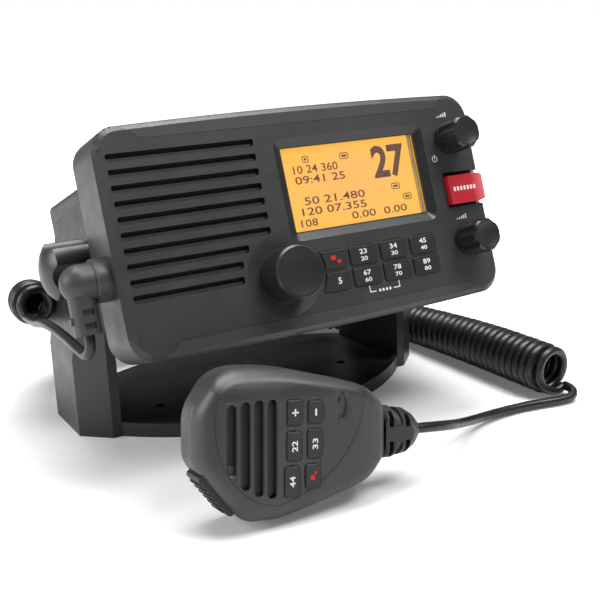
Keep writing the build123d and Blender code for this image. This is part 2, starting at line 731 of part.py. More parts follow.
for x, n in rf_posts:
    chassis += Pos(x, -n, floor_z + RF_POST_H / 2 - 0.25) * Cylinder(RF_POST_R, RF_POST_H + 0.5)
antenna_hole_r = ANTENNA_BORE_R
chassis -= peg(ANTENNA_U, ANTENNA_V, antenna_hole_r, CHASSIS_BACK - 1, CHASSIS_BACK + CHASSIS_WALL + 1)
chassis -= peg(INLET_U, INLET_V, INLET_NECK_R, CHASSIS_BACK - 1, CHASSIS_BACK + CHASSIS_WALL + 1)
save("chassis", chassis, MOUNT)

gasket = face_outline(BEZEL_WALL + FLANGE_GAP) - face_outline(BEZEL_WALL + LEDGE_W)
gasket_solid = slab(gasket, FLANGE_FRONT, FLANGE_FRONT + GASKET_T)
for u, v in boss_spots:
    gasket_solid -= peg(u, v, BOSS_R + 0.1, FLANGE_FRONT - 1, FLANGE_FRONT + 2)
save("chassis_gasket", gasket_solid, MOUNT)

screws = []
for u, v in boss_spots:
    screw = peg(u, v, SCREW_R, BEZEL_BACK - 0.5, BEZEL_BACK + SCREW_L)
    screw += peg(u, v, SCREW_HEAD_R, BEZEL_BACK - SCREW_HEAD_T, BEZEL_BACK)
    screw -= slab(Pos(u, v + FACE_RISE) * Rectangle(4.0, 0.8), BEZEL_BACK - 4, BEZEL_BACK - 1.4)
    screws.append(screw)
save("chassis_screws", screws, MOUNT)

inserts = []
friction = []
for side in (1, -1):
    insert = rod_x(0, 0, INSERT_R, side * half_w, side * (half_w - INSERT_L))
    insert -= rod_x(0, 0, CLAMP_STUD_R + RUN_GAP, side * (half_w + 1), side * (half_w - INSERT_L + 1))
    inserts.append(insert)
    ring = rod_x(0, 0, FRICTION_R, side * half_w, side * (ARM_IN - FRICTION_GAP))
    ring -= rod_x(0, 0, CLAMP_STUD_R + STUD_HOLE_GAP, side * (half_w - 1), side * ARM_IN)
    friction.append(ring)
save("clamp_inserts", inserts, MOUNT)
save("friction_washers", friction, MOUNT)

rf_z = floor_z + RF_POST_H
rf_board = Pos(0, -(rf_front - RF_BOARD_D / 2), rf_z + BOARD_T / 2) * Box(rf_board_w, RF_BOARD_D, BOARD_T)
save("rf_board", rf_board, MOUNT)

half_f = ANTENNA_FLANGE / 2
antenna = slab(
    rect(ANTENNA_U - half_f, ANTENNA_U + half_f, ANTENNA_V - half_f, ANTENNA_V + half_f, 1.5),
    CHASSIS_BACK - ANTENNA_FLANGE_T,
    CHASSIS_BACK,
)
antenna_tip = CHASSIS_BACK - ANTENNA_FLANGE_T - ANTENNA_L
antenna += peg(ANTENNA_U, ANTENNA_V, ANTENNA_R, antenna_tip, CHASSIS_BACK - ANTENNA_FLANGE_T)
antenna -= peg(ANTENNA_U, ANTENNA_V, ANTENNA_BORE_R, antenna_tip - 1, CHASSIS_BACK - ANTENNA_FLANGE_T)
core = peg(ANTENNA_U, ANTENNA_V, ANTENNA_BORE_R - 2.0, antenna_tip + 2.0, CHASSIS_BACK - ANTENNA_FLANGE_T)
core -= peg(ANTENNA_U, ANTENNA_V, 2.0, antenna_tip - 1, CHASSIS_BACK - ANTENNA_FLANGE_T - 1.0)
antenna += core
save("antenna_socket", antenna, MOUNT)

inlet = peg(INLET_U, INLET_V, INLET_R, CHASSIS_BACK - INLET_L, CHASSIS_BACK)
inlet = chamfer(inlet.faces().sort_by(Axis.Y)[-1].edges(), 1.5)
inlet += peg(INLET_U, INLET_V, INLET_NECK_R, CHASSIS_BACK - 1, CHASSIS_BACK + CHASSIS_WALL)
inlet -= peg(INLET_U, INLET_V, INLET_BORE_R, CHASSIS_BACK - INLET_L - 1, CHASSIS_BACK + CHASSIS_WALL + 1)
save("power_inlet", inlet, MOUNT)

# ------------------------------------------------------------------ microphone socket and plug
wall_x = -FACE_W / 2
socket = rod_x(plug_y, plug_z, SOCKET_R, wall_x, wall_x + SOCKET_L)
socket += rod_x(plug_y, plug_z, SOCKET_FLANGE_R, side_in, side_in + SOCKET_FLANGE_T)
socket -= rod_x(plug_y, plug_z, SOCKET_BORE_R, wall_x - 1, wall_x + SOCKET_L - 1.5)
save("mic_socket", socket, MOUNT)

plug = rod_x(plug_y, plug_z, COLLAR_R, wall_x, wall_x - COLLAR_L)
plug = chamfer(plug.faces().sort_by(Axis.X)[0].edges(), 1.0)
plug += rod_x(plug_y, plug_z, NOSE_R, wall_x - 1, wall_x + NOSE_L)
plug += rod_x(plug_y, plug_z, ELBOW_R, wall_x - COLLAR_L + 1, ELBOW_X)
plug += Pos(ELBOW_X, plug_y, plug_z) * Sphere(ELBOW_R)
neck_mid = plug_z - NECK_L / 2
plug += Pos(ELBOW_X, plug_y, neck_mid) * Cylinder(NECK_R, NECK_L)
for drop, across in ((13.0, 0), (19.0, 0)):
    for turn in (0, 180):
        slot = Rot(0, 0, turn) * Pos(0, -NECK_R, 0) * Box(NECK_SLOT_W, 3.0, NECK_SLOT_H)
        plug -= Pos(ELBOW_X, plug_y, plug_z - drop) * slot
plug += Pos(ELBOW_X - NECK_R, plug_y, plug_z - 16.0) * Rot(0, 90, 0) * Cylinder(NECK_BOSS_R, 2.0)
save("mic_plug", plug, MOUNT)

# ------------------------------------------------------------------ gimbal bracket
arc_cy = LIP_FRONT_Y + LIP_ARC_R


def lip_y(x, r=LIP_ARC_R):
    """Where the base's bowed front edge is at x."""
    return arc_cy - math.sqrt(r * r - x * x)


def side_outline(setback):
    """An arm's outline seen from the side; setback moves its front edge back."""
    nose = math.radians(180.0 + NOSE_WRAP)
    nose_y = PIVOT_Y + setback
    top_dir = (CREST_Y - ARM_REAR_Y, CREST_Z - ARM_REAR_Z)
    tip = (nose_y - ARM_NOSE_R, PIVOT_Z)
    under = (nose_y + ARM_NOSE_R * math.cos(nose), PIVOT_Z + ARM_NOSE_R * math.sin(nose))
    under_dir = (-math.sin(nose), math.cos(nose))
    mid_angle = math.radians(180.0 + NOSE_WRAP / 2)
    middle = (nose_y + ARM_NOSE_R * math.cos(mid_angle), PIVOT_Z + ARM_NOSE_R * math.sin(mid_angle))
    neck = (ARM_FRONT_Y + setback, NECK_Z)
    foot = (ARM_FRONT_Y + setback, 0)
    rear_low = (ARM_REAR_Y, 0)
    rear_high = (ARM_REAR_Y, ARM_REAR_Z)
    crest = (CREST_Y, CREST_Z)
    return [
        Line(foot, rear_low),
        Line(rear_low, rear_high),
        Line(rear_high, crest),
        Spline(crest, tip, tangents=[top_dir, (0, -1)], tangent_scalars=[0.9, 0.9]),
        ThreePointArc(tip, middle, under),
        Spline(under, neck, tangents=[under_dir, (0, -1)], tangent_scalars=[0.9, 0.9]),
        Line(neck, foot),
    ]


def arm_solid(side):
    """One arm: a flat inner part, and an outer part whose front edge slants back."""
    inner_plane = Plane(origin=(ARM_IN, 0, 0), x_dir=(0, 1, 0), z_dir=(1, 0, 0))
    facet_plane = Plane(origin=(ARM_FACET, 0, 0), x_dir=(0, 1, 0), z_dir=(1, 0, 0))
    outer_plane = Plane(origin=(ARM_OUT, 0, 0), x_dir=(0, 1, 0), z_dir=(1, 0, 0))
    flat = make_face(Curve() + side_outline(0.0))
    back = make_face(Curve() + side_outline(ARM_FACET_SETBACK))
    arm = extrude(inner_plane * flat, amount=ARM_FACET - ARM_IN)
    arm += loft([facet_plane * flat, outer_plane * back], ruled=True)
    lean = (ARM_OUT - ARM_TOP_OUT) / (ARM_LEAN_Z1 - ARM_LEAN_Z0)
    top_z = CREST_Z + 5
    top_x = ARM_OUT - lean * (top_z - ARM_LEAN_Z0)
    profile = [(ARM_IN - 1, -1), (ARM_OUT, -1), (ARM_OUT, ARM_LEAN_Z0), (top_x, top_z), (ARM_IN - 1, top_z)]
    keep = Plane.XZ * make_face(Polyline(*profile, close=True))
    arm &= extrude(keep, amount=200, both=True)
    cav_top = ARM_LEAN_Z1 - 15.0
    cav_x1 = ARM_OUT - ARM_WALL
    cav_top_x = ARM_OUT - lean * (cav_top - ARM_LEAN_Z0) - ARM_WALL
    hollow = [
        (ARM_IN + ARM_WALL, -1),
        (cav_x1, -1),
        (cav_x1, ARM_LEAN_Z0),
        (cav_top_x, cav_top),
        (ARM_IN + ARM_WALL, cav_top),
    ]
    cav_y0 = ARM_FRONT_Y + ARM_FACET_SETBACK + ARM_WALL
    cav_y1 = ARM_REAR_Y - ARM_WALL
    cavity = Plane.XZ.offset(-cav_y1) * make_face(Polyline(*hollow, close=True))
    arm -= extrude(cavity, amount=cav_y1 - cav_y0)
    arm -= rod_x(PIVOT_Y, PIVOT_Z, SPOT_R, SPOT_X, ARM_OUT + 5)
    arm -= rod_x(PIVOT_Y, PIVOT_Z, CLAMP_STUD_R + STUD_HOLE_GAP, ARM_IN - 1, ARM_OUT)
    return arm if side > 0 else mirror(arm, about=Plane.YZ)


def base_sketch(inset):
    """The base between the arms, with its bowed front and rear edges."""
    half = ARM_IN + 0.5
    r = LIP_ARC_R - inset
    y_end = lip_y(half, r)
    arc = ThreePointArc((half, y_end), (0, arc_cy - r), (-half, y_end))
    left = Line((-half, y_end), (-half, BASE_REAR_SIDE_Y))
    rear = ThreePointArc((-half, BASE_REAR_SIDE_Y), (0, BASE_REAR_Y), (half, BASE_REAR_SIDE_Y))
    right = Line((half, BASE_REAR_SIDE_Y), (half, y_end))
    return make_face(Curve() + [arc, left, rear, right])


bracket = extrude(base_sketch(0.0), amount=BASE_T)
lip = base_sketch(0.0) - base_sketch(LIP_T)
bracket += extrude(lip, amount=LIP_H)
bracket += arm_solid(1)
bracket += arm_solid(-1)
cheek_side = Polyline(
    (ARM_REAR_Y - 1.0, 0), (CHEEK_END_Y, 0), (CHEEK_END_Y, CHEEK_END_H), (ARM_REAR_Y - 1.0, CHEEK_H), close=True
)
cheek = extrude(Plane.YZ.offset(ARM_IN) * make_face(cheek_side), amount=CHEEK_T)
bracket += cheek
bracket += mirror(cheek, about=Plane.YZ)
for sx in (1, -1):
    for sy in (1, -1):
        bracket -= Pos(sx * HOLE_DX / 2, sy * HOLE_DY / 2, BASE_T / 2) * Cylinder(HOLE_R, BASE_T + 2)
save("gimbal_bracket", bracket)


# ------------------------------------------------------------------ clamp knobs
def clamp_washer(side):
    """The washer between a clamp knob and its arm."""
    x0 = SPOT_X + CLAMP_GAP
    x1 = x0 + CLAMP_WASHER_T
    ring = rod_x(PIVOT_Y, PIVOT_Z, CLAMP_WASHER_R, side * x0, side * x1)
    return ring - rod_x(PIVOT_Y, PIVOT_Z, CLAMP_STUD_R + RUN_GAP, side * (x0 - 1), side * (x1 + 1))


def clamp_knob(side):
    """A four-lobed clamp knob with a domed end and a threaded stud."""
    x0 = SPOT_X + CLAMP_GAP + CLAMP_WASHER_T + CLAMP_GAP
    x1 = x0 + CLAMP_GRIP_L
    lobes = Circle(CLAMP_R)
    for spot in PolarLocations(CLAMP_SCALLOP_AT, 4):
        lobes -= spot * Circle(CLAMP_SCALLOP_R)
    lobes = fillet(lobes.vertices(), 2.0)
    plane = Plane(origin=(x0, PIVOT_Y, PIVOT_Z), x_dir=(0, 1, 0), z_dir=(1, 0, 0))
    body = extrude(plane * lobes, amount=x1 + CLAMP_DOME - x0)
    ball = (CLAMP_R * CLAMP_R + CLAMP_DOME * CLAMP_DOME) / (2 * CLAMP_DOME)
    dome = Pos(x1 + CLAMP_DOME - ball, PIVOT_Y, PIVOT_Z) * Sphere(ball)
    body &= dome
    stud_end = CHASSIS_W / 2 - INSERT_L + 2.0
    body += rod_x(PIVOT_Y, PIVOT_Z, CLAMP_STUD_R, stud_end, x0 + 1)
    return body if side > 0 else mirror(body, about=Plane.YZ)


for name, side in (("right", 1), ("left", -1)):
    save(name + "_clamp_washer", clamp_washer(side))
    save(name + "_clamp_knob", clamp_knob(side))


# ------------------------------------------------------------------ hand microphone
def mic_front(c):
    """A plane parallel to the microphone's face, c in front of its parting line."""
    return Plane.XZ.offset(c)


def mic_slab(sketch, c0, c1):
    """A piece of the microphone with a constant outline."""
    return extrude(mic_front(c0) * sketch, amount=c1 - c0)


def mic_outline(inset=0.0):
    """The microphone's outline, its corner cut away for the talk switch."""
    corners = [
        ((0, 0.4644 * MIC_HALF), 0.6192 * MIC_HALF),
        ((0.1019 * MIC_L, 0.904 * MIC_HALF), 0.4644 * MIC_HALF),
        ((0.2038 * MIC_L, MIC_HALF), 0.6192 * MIC_HALF),
        ((0.4077 * MIC_L, MIC_HALF), 3.096 * MIC_HALF),
        ((0.8834 * MIC_L, 0.7059 * MIC_HALF), 0.9288 * MIC_HALF),
        ((MIC_L, MIC_NECK_TOP), 0.7031 * MIC_NECK_TOP),
        ((MIC_L, -MIC_NECK_LOW), MIC_NECK_LOW),
        ((0.8947 * MIC_L, -0.5942 * MIC_LOW), 0.7668 * MIC_LOW),
        ((0.419 * MIC_L, -MIC_LOW), 0.9585 * MIC_LOW),
        (PTT_LOW, 0.3834 * MIC_LOW),
        (PTT_HIGH, 0.3834 * MIC_LOW),
    ]
    shape = make_face(Polyline(*[point for point, r in corners], close=True))
    for point, r in corners:
        near = shape.vertices().sort_by_distance(Vector(point[0], point[1], 0))[0]
        shape = fillet(near, r)
    if inset > 0:
        shape = offset(shape, -inset)
    return shape


def ptt_frame():
    """Where the talk switch sits: the middle of the cut corner, looking outwards."""
    x0, z0 = PTT_HIGH
    x1, z1 = PTT_LOW
    run = math.hypot(x1 - x0, z1 - z0)
    along = ((x1 - x0) / run, (z1 - z0) / run)
    out = (along[1], -along[0])
    middle = ((x0 + x1) / 2, (z0 + z1) / 2)
    return middle, along, out


ptt_mid, ptt_along, ptt_out = ptt_frame()
ptt_plane = Plane(
    origin=(ptt_mid[0], 0, ptt_mid[1]),
    x_dir=(ptt_along[0], 0, ptt_along[1]),
    z_dir=(ptt_out[0], 0, ptt_out[1]),
)
ptt_hole_half = PTT_SPAN / 2 + PTT_GAP
ptt_window = extrude(
    ptt_plane.offset(-7.0) * Rectangle(PTT_SPAN + 2 * PTT_GAP, PTT_W + 2 * PTT_GAP), amount=12.0
)

mic_front_shell = mic_slab(mic_outline(), 0, MIC_FRONT)
front_rim = mic_front_shell.faces().sort_by(Axis.Y)[0].edges()
mic_front_shell = fillet(front_rim, MIC_ROUND)
mic_front_shell -= mic_slab(mic_outline(MIC_WALL), 0, MIC_FRONT - MIC_WALL)
for a, b0, b1 in zip(MIC_SLOT_A, MIC_SLOT_B0, MIC_SLOT_B1):
    shape = Pos(a, (b0 + b1) / 2) * RectangleRounded(MIC_SLOT_W, b1 - b0, 1.2)
    mic_front_shell -= mic_slab(shape, MIC_FRONT - MIC_WALL - 1, MIC_FRONT + 1)


def mic_key_shape(index, grow):
    """A microphone key's outline."""
    shape = RectangleRounded(MIC_KEY_W + 2 * grow, MIC_KEY_H[index] + 2 * grow, MIC_KEY_R + grow)
    return Pos(MIC_KEY_A[index], MIC_KEY_B[index]) * shape


for index in range(len(MIC_KEY_A)):
    mic_front_shell -= mic_slab(mic_key_shape(index, MIC_KEY_GAP), MIC_FRONT - MIC_WALL - 1, MIC_FRONT + 1)
leaf = Pos(LEAF_A, LEAF_B) * Ellipse(LEAF_W / 2, LEAF_H / 2)
mic_front_shell -= mic_slab(leaf, MIC_FRONT - LEAF_DEPTH, MIC_FRONT + 1)
mic_front_shell -= mic_slab(Pos(MIC_HOLE_A, MIC_HOLE_B) * Circle(MIC_HOLE_R), MIC_FRONT - 4, MIC_FRONT + 1)
neck_bore = Pos(MIC_L, 0, 0) * Rot(0, 90, 0) * Cylinder(MIC_NECK_BORE_R, 12.0)
mic_front_shell -= neck_bore
for a, b in MIC_SCREW_AB:
    mic_front_shell += mic_slab(Pos(a, b) * Circle(MIC_POST_R), 0, MIC_FRONT - MIC_WALL + 0.3)
    mic_front_shell -= mic_slab(Pos(a, b) * Circle(MIC_SCREW_R + RUN_GAP), -1, 6.0)
mic_front_shell -= ptt_window
save("mic_front_shell", mic_front_shell, MIC)

mic_rear_shell = mic_slab(mic_outline(), -MIC_REAR, 0)
rear_rim = mic_rear_shell.faces().sort_by(Axis.Y)[-1].edges()
mic_rear_shell = fillet(rear_rim, MIC_ROUND)
mic_rear_shell -= mic_slab(mic_outline(MIC_WALL), -MIC_REAR + MIC_WALL, 0)
mic_rear_shell -= neck_bore
head_seat = -MIC_REAR + MIC_SCREW_HEAD_T + 0.2
for a, b in MIC_SCREW_AB:
    mic_rear_shell += mic_slab(Pos(a, b) * Circle(MIC_POST_R + 0.6), -MIC_REAR + 1.0, 0)
    mic_rear_shell -= mic_slab(Pos(a, b) * Circle(MIC_SCREW_R + 0.2), -MIC_REAR - 1, 1)
    mic_rear_shell -= mic_slab(Pos(a, b) * Circle(MIC_SCREW_HEAD_R + 0.2), -MIC_REAR - 1, head_seat)
mic_rear_shell -= mic_slab(Pos(STUD_A, 0) * Circle(STUD_R - 1.0), -MIC_REAR - 1, -MIC_REAR + MIC_WALL + 1)
mic_rear_shell -= ptt_window
save("mic_rear_shell", mic_rear_shell, MIC)

for index in range(len(MIC_KEY_A)):
    back = MIC_FRONT - MIC_WALL - SEAT_GAP
    key = mic_slab(mic_key_shape(index, 0.0), back - 0.8, MIC_FRONT + MIC_KEY_PROUD)
    key = chamfer(key.faces().sort_by(Axis.Y)[0].edges(), 0.25)
    key += mic_slab(mic_key_shape(index, MIC_KEY_FLANGE), back - 0.8, back)
    save("mic_key_" + str(index + 1), key, MIC)

mic_board_front = MIC_FRONT - MIC_WALL - SEAT_GAP - 0.8 - MIC_KEY_TRAVEL - 0.2
board_sketch = Pos(MIC_BOARD_A, 0) * RectangleRounded(MIC_BOARD_L, MIC_BOARD_W, 2.0)
board_sketch -= Pos(MIC_SPEAKER_A, 0) * Circle(MIC_SPEAKER_R + 0.5)
for a, b in MIC_SCREW_AB:
    board_sketch -= Pos(a, b) * Circle(MIC_POST_R + 0.4)
save("mic_board", mic_slab(board_sketch, mic_board_front - 1.2, mic_board_front), MIC)

speaker_front = MIC_FRONT - MIC_WALL - 0.1
mic_speaker = mic_slab(
    Pos(MIC_SPEAKER_A, 0) * Circle(MIC_SPEAKER_R), speaker_front - MIC_SPEAKER_T, speaker_front
)
for a, b in MIC_SCREW_AB:
    mic_speaker -= mic_slab(Pos(a, b) * Circle(MIC_POST_R + 0.3), 0, MIC_FRONT)
for index in range(len(MIC_KEY_A)):
    mic_speaker -= mic_slab(mic_key_shape(index, MIC_KEY_FLANGE + 0.3), 0, MIC_FRONT)
save("mic_speaker", mic_speaker, MIC)

mic_screws = []
for a, b in MIC_SCREW_AB:
    screw = mic_slab(Pos(a, b) * Circle(MIC_SCREW_R), head_seat - 0.5, 5.5)
    screw += mic_slab(Pos(a, b) * Circle(MIC_SCREW_HEAD_R), head_seat - MIC_SCREW_HEAD_T, head_seat)
    mic_screws.append(screw)
save("mic_screws", mic_screws, MIC)

stud = mic_slab(Pos(STUD_A, 0) * Circle(STUD_R), -MIC_REAR - STUD_L, -MIC_REAR)
stud += mic_slab(Pos(STUD_A, 0) * Circle(STUD_R - 1.05), -MIC_REAR - 1, -MIC_REAR + MIC_WALL)
head = mic_slab(Pos(STUD_A, 0) * Circle(STUD_HEAD_R), -MIC_REAR - STUD_L - STUD_HEAD_T, -MIC_REAR - STUD_L)
stud += chamfer(head.faces().sort_by(Axis.Y)[-1].edges(), 0.8)
save("mic_hanger_stud", stud, MIC)

ptt = extrude(ptt_plane.offset(-PTT_T) * Rectangle(PTT_SPAN, PTT_W), amount=PTT_T + PTT_PROUD)
ptt = chamfer(ptt.edges().filter_by(Axis.Y), 1.0)
for index in range(RIB_COUNT):
    at = (index - (RIB_COUNT - 1) / 2) * PTT_SPAN / (RIB_COUNT + 1.5)
    ptt += extrude(ptt_plane.offset(PTT_PROUD - 0.2) * Pos(at, 0) * Rectangle(1.2, PTT_W - 3.0), amount=RIB_H + 0.2)
save("ptt_button", ptt, MIC)

relief_profile = [
    (MIC_L - RELIEF_BITE, 0),
    (MIC_L - RELIEF_BITE, MIC_NECK_BORE_R - 0.1),
    (MIC_L, MIC_NECK_BORE_R - 0.1),
    (MIC_L, RELIEF_R - 1.2),
    (MIC_L + 1.2, RELIEF_R),
    (MIC_L + 5.2, RELIEF_R),
    (MIC_L + 5.6, RELIEF_R - 1.8),
    (MIC_L + 8.2, RELIEF_R - 2.0),
    (MIC_L + 8.6, RELIEF_R - 0.9),
    (MIC_L + 12.4, RELIEF_R - 1.4),
    (MIC_L + 16.6, RELIEF_R - 3.9),
    (MIC_L + 19.2, RELIEF_R - 6.6),
    (MIC_L + RELIEF_L, RELIEF_TIP_R),
    (MIC_L + RELIEF_L, 0),
]
relief = revolve(Plane.XZ * make_face(Polyline(*relief_profile, close=True)), Axis.X)
for at, off, high in ((2.9, 6.6, 7.0), (11.2, 5.8, 5.8)):
    for turn in (0, 180):
        for side in (1, -1):
            slot = Pos(MIC_L + at, -RELIEF_R, side * off) * Box(2.3, 12.0, high)
            relief -= Rot(turn, 0, 0) * slot
relief &= Pos(MIC_L + RELIEF_L / 2, 0, 0) * Box(60, 2 * RELIEF_R - 5.0, 60)
save("mic_strain_relief", relief, MIC)


# ------------------------------------------------------------------ cord
def route(points, label):
    """A cord's path: straight runs joined by arcs as large as the runs allow."""
    spots = [Vector(*p) for p in points]
    radii = []
    for before, here, after in zip(spots, spots[1:], spots[2:]):
        turn = math.radians((here - before).get_angle(after - here))
        shorter = min((here - before).length, (after - here).length)
        radii.append(RADIUS_SHARE * shorter / math.tan(turn / 2))
    print(label, "radii", [round(r, 1) for r in radii])
    return FilletPolyline(*spots, radius=radii)


def tube(points, r, label):
    """A plain round cord, or the outer shape of a coil, along a route."""
    path = route(points, label)
    section = Plane(origin=path @ 0, z_dir=path % 0) * Circle(r)
    solid = sweep(section, path=path)
    share = solid.volume / (math.pi * r * r * path.length)
    print(label, "length", round(path.length, 1), "volume over section x length", round(share, 5))
    return solid


neck_end = (MOUNT * Pos(ELBOW_X, plug_y, plug_z - NECK_L)).position
relief_end = (MIC * Pos(MIC_L + RELIEF_L, 0, 0)).position
neck_run = (MOUNT * Pos(ELBOW_X, plug_y, plug_z - NECK_L - LEAD_EXIT_RUN)).position
relief_run = (MIC * Pos(MIC_L + RELIEF_L + TAIL_EXIT_RUN, 0, 0)).position
lead_points = [tuple(neck_end), tuple(neck_run)] + LEAD_PTS
tail_points = TAIL_PTS + [tuple(relief_run), tuple(relief_end)]
save("cord_lead", tube(lead_points, CORD_R, "lead"))
save("cord_coil", tube(COIL_PTS, COIL_R, "coil"))
save("cord_tail", tube(tail_points, CORD_R, "tail"))
print(len(made), "pieces")
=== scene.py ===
# %% [markdown]
# # A marine radio in its tilting bracket
# The radio is a sealed box that hangs between two arms, with a hand microphone on a curly cord.
# The exact parts arrive from a CAD model as fixed nodes. This lesson adds what CAD leaves out:
# the soft cord, the printed marks, the lit display, and a finish for every surface.

import json
import math

import bmesh
import bpy
from mathutils import Matrix, Vector


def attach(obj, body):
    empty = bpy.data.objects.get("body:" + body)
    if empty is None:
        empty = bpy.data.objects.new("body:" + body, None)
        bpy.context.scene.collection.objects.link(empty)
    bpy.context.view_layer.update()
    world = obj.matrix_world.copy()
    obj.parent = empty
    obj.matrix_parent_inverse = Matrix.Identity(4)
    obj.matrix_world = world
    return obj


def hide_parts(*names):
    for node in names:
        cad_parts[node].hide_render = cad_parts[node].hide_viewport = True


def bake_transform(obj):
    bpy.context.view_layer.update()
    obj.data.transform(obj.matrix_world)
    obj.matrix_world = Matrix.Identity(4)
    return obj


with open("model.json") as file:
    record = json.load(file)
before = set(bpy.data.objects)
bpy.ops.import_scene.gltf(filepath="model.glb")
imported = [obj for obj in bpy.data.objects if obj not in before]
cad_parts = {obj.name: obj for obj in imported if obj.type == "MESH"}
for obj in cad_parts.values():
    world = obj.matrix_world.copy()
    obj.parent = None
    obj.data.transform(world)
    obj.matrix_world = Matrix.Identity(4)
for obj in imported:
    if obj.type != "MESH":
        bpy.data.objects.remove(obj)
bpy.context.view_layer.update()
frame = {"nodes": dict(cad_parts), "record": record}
nodes = frame["nodes"]
slot_of = {part["node"]: part["material_slot"] for part in frame["record"]["subparts"]}

# %% [markdown]
# The radio leans back 18.8 degrees about the clamp screws, and the microphone lies at a slant.
# Every detail on them is easier to draw flat, as on a bench: u to the right, v up, n out of the
# face. Each bench has a matrix that carries a finished drawing to its place on the object.

# %% Benches for the radio's face and for the microphone
MM = 0.001
UPRIGHT = Matrix(((1, 0, 0, 0), (0, 0, -1, 0), (0, 1, 0, 0), (0, 0, 0, 1)))
TILT_BACK = 18.8
PIVOT = (0, -8.5 * MM, 92.7 * MM)
FACE_RISE = 2.0 * MM
FACE_N = 54.0
RADIO_BENCH = (
    Matrix.Translation(PIVOT)
    @ Matrix.Rotation(math.radians(-TILT_BACK), 4, "X")
    @ Matrix.Translation((0, 0, FACE_RISE))
    @ UPRIGHT
)
MIC_FACE = 13.5
MIC_BENCH = (
    Matrix.Translation((-97.2 * MM, -111.4 * MM, 36.52 * MM))
    @ Matrix.Rotation(math.radians(-5.67), 4, "Z")
    @ Matrix.Rotation(math.radians(7.64), 4, "Y")
    @ Matrix.Rotation(math.radians(-11.22), 4, "X")
    @ UPRIGHT
)
print("face centre", [round(x, 4) for x in RADIO_BENCH @ Vector((0, 0, FACE_N * MM))])
print("microphone face", [round(x, 4) for x in MIC_BENCH @ Vector((0, 0, MIC_FACE * MM))])

# %% [markdown]
# The camera stands to the left of the radio and a little above it. Its three axes are written
# as the columns of a matrix: right, up, and back, because a Blender camera looks along its -Z.

# %% Camera
CAMERA_AT = (-0.24237, -0.45837, 0.20539)
CAMERA_RIGHT = (0.8594552, -0.50989239, -0.0366947)
CAMERA_DOWN = (-0.17212315, -0.22104048, -0.95995558)
CAMERA_FORWARD = (0.48136304, 0.83135483, -0.27773868)
LENS = 59.78

camera_data = bpy.data.cameras.new("camera")
camera_data.lens = LENS
camera_data.sensor_width = 36.0
camera = bpy.data.objects.new("camera", camera_data)
bpy.context.scene.collection.objects.link(camera)
turn = Matrix((CAMERA_RIGHT, [-x for x in CAMERA_DOWN], [-x for x in CAMERA_FORWARD])).transposed()
camera.matrix_world = Matrix.Translation(CAMERA_AT) @ turn.to_4x4()
bpy.context.scene.camera = camera
print("camera at", CAMERA_AT, "lens", LENS)

# %% [markdown]
# ## Finishes
# Moulded plastic is never one flat colour. It has a spark-eroded grain that breaks up the light,
# and its colour and gloss drift a little. One function makes that surface from three noises read
# in Object coordinates: a broad drift of colour, a broad drift of gloss, and a fine grain as bump.
# Each finish then differs in its numbers, which is also how a toolmaker orders a texture.


# %% A moulded surface
def linear(grey):
    """A grey or a colour in 0 to 1 of a display, as the shader's linear value."""
    values = grey if isinstance(grey, (tuple, list)) else (grey, grey, grey)
    return [x / 12.92 if x <= 0.04045 else ((x + 0.055) / 1.055) ** 2.4 for x in values]


def new_material(name):
    """A material with a Principled shader, its node tree and that shader."""
    material = bpy.data.materials.new(name)
    material.use_nodes = True
    return material, material.node_tree, material.node_tree.nodes["Principled BSDF"]


def noise(tree, scale, detail=3.0, roughness=0.55):
    """A noise in Object coordinates; scale is in features per metre."""
    place = tree.nodes.get("Texture Coordinate") or tree.nodes.new("ShaderNodeTexCoord")
    texture = tree.nodes.new("ShaderNodeTexNoise")
    texture.inputs["Scale"].default_value = scale
    texture.inputs["Detail"].default_value = detail
    texture.inputs["Roughness"].default_value = roughness
    tree.links.new(place.outputs["Object"], texture.inputs["Vector"])
    return texture.outputs["Fac"]


def spread(tree, value, low, high):
    """A noise's useful middle, as a number from low to high."""
    node = tree.nodes.new("ShaderNodeMapRange")
    node.inputs["From Min"].default_value = 0.3
    node.inputs["From Max"].default_value = 0.7
    node.inputs["To Min"].default_value = low
    node.inputs["To Max"].default_value = high
    tree.links.new(value, node.inputs["Value"])
    return node.outputs["Result"]


def drift(tree, value, dark, light):
    """A colour that follows a noise from dark to light."""
    ramp = tree.nodes.new("ShaderNodeValToRGB")
    ramp.color_ramp.elements[0].position = 0.3
    ramp.color_ramp.elements[1].position = 0.7
    ramp.color_ramp.elements[0].color = (*linear(dark), 1)
    ramp.color_ramp.elements[1].color = (*linear(light), 1)
    tree.links.new(value, ramp.inputs["Fac"])
    return ramp.outputs["Color"]


def grain(tree, shader, scale, height, strength=1.0):
    """A fine bump, height metres deep."""
    bump = tree.nodes.new("ShaderNodeBump")
    bump.inputs["Distance"].default_value = height
    bump.inputs["Strength"].default_value = strength
    tree.links.new(noise(tree, scale, 2.0), bump.inputs["Height"])
    tree.links.new(bump.outputs["Normal"], shader.inputs["Normal"])


GLOSS_DRIFT = 0.05
GLOSS_FINER = 3.1


def moulded(
    name, dark, light, rough, grain_scale=2600.0, grain_height=0.00003, metallic=0.0, broad=35.0
):
    """Plastic, rubber or painted metal: drifting colour, drifting gloss and a fine grain."""
    material, tree, shader = new_material(name)
    tree.links.new(drift(tree, noise(tree, broad, 4.0), dark, light), shader.inputs["Base Color"])
    blotches = noise(tree, broad * GLOSS_FINER, 3.0)
    gloss = spread(tree, blotches, rough - GLOSS_DRIFT, rough + GLOSS_DRIFT)
    tree.links.new(gloss, shader.inputs["Roughness"])
    shader.inputs["Metallic"].default_value = metallic
    grain(tree, shader, grain_scale, grain_height)
    print("finish", name, "roughness about", rough)
    return material


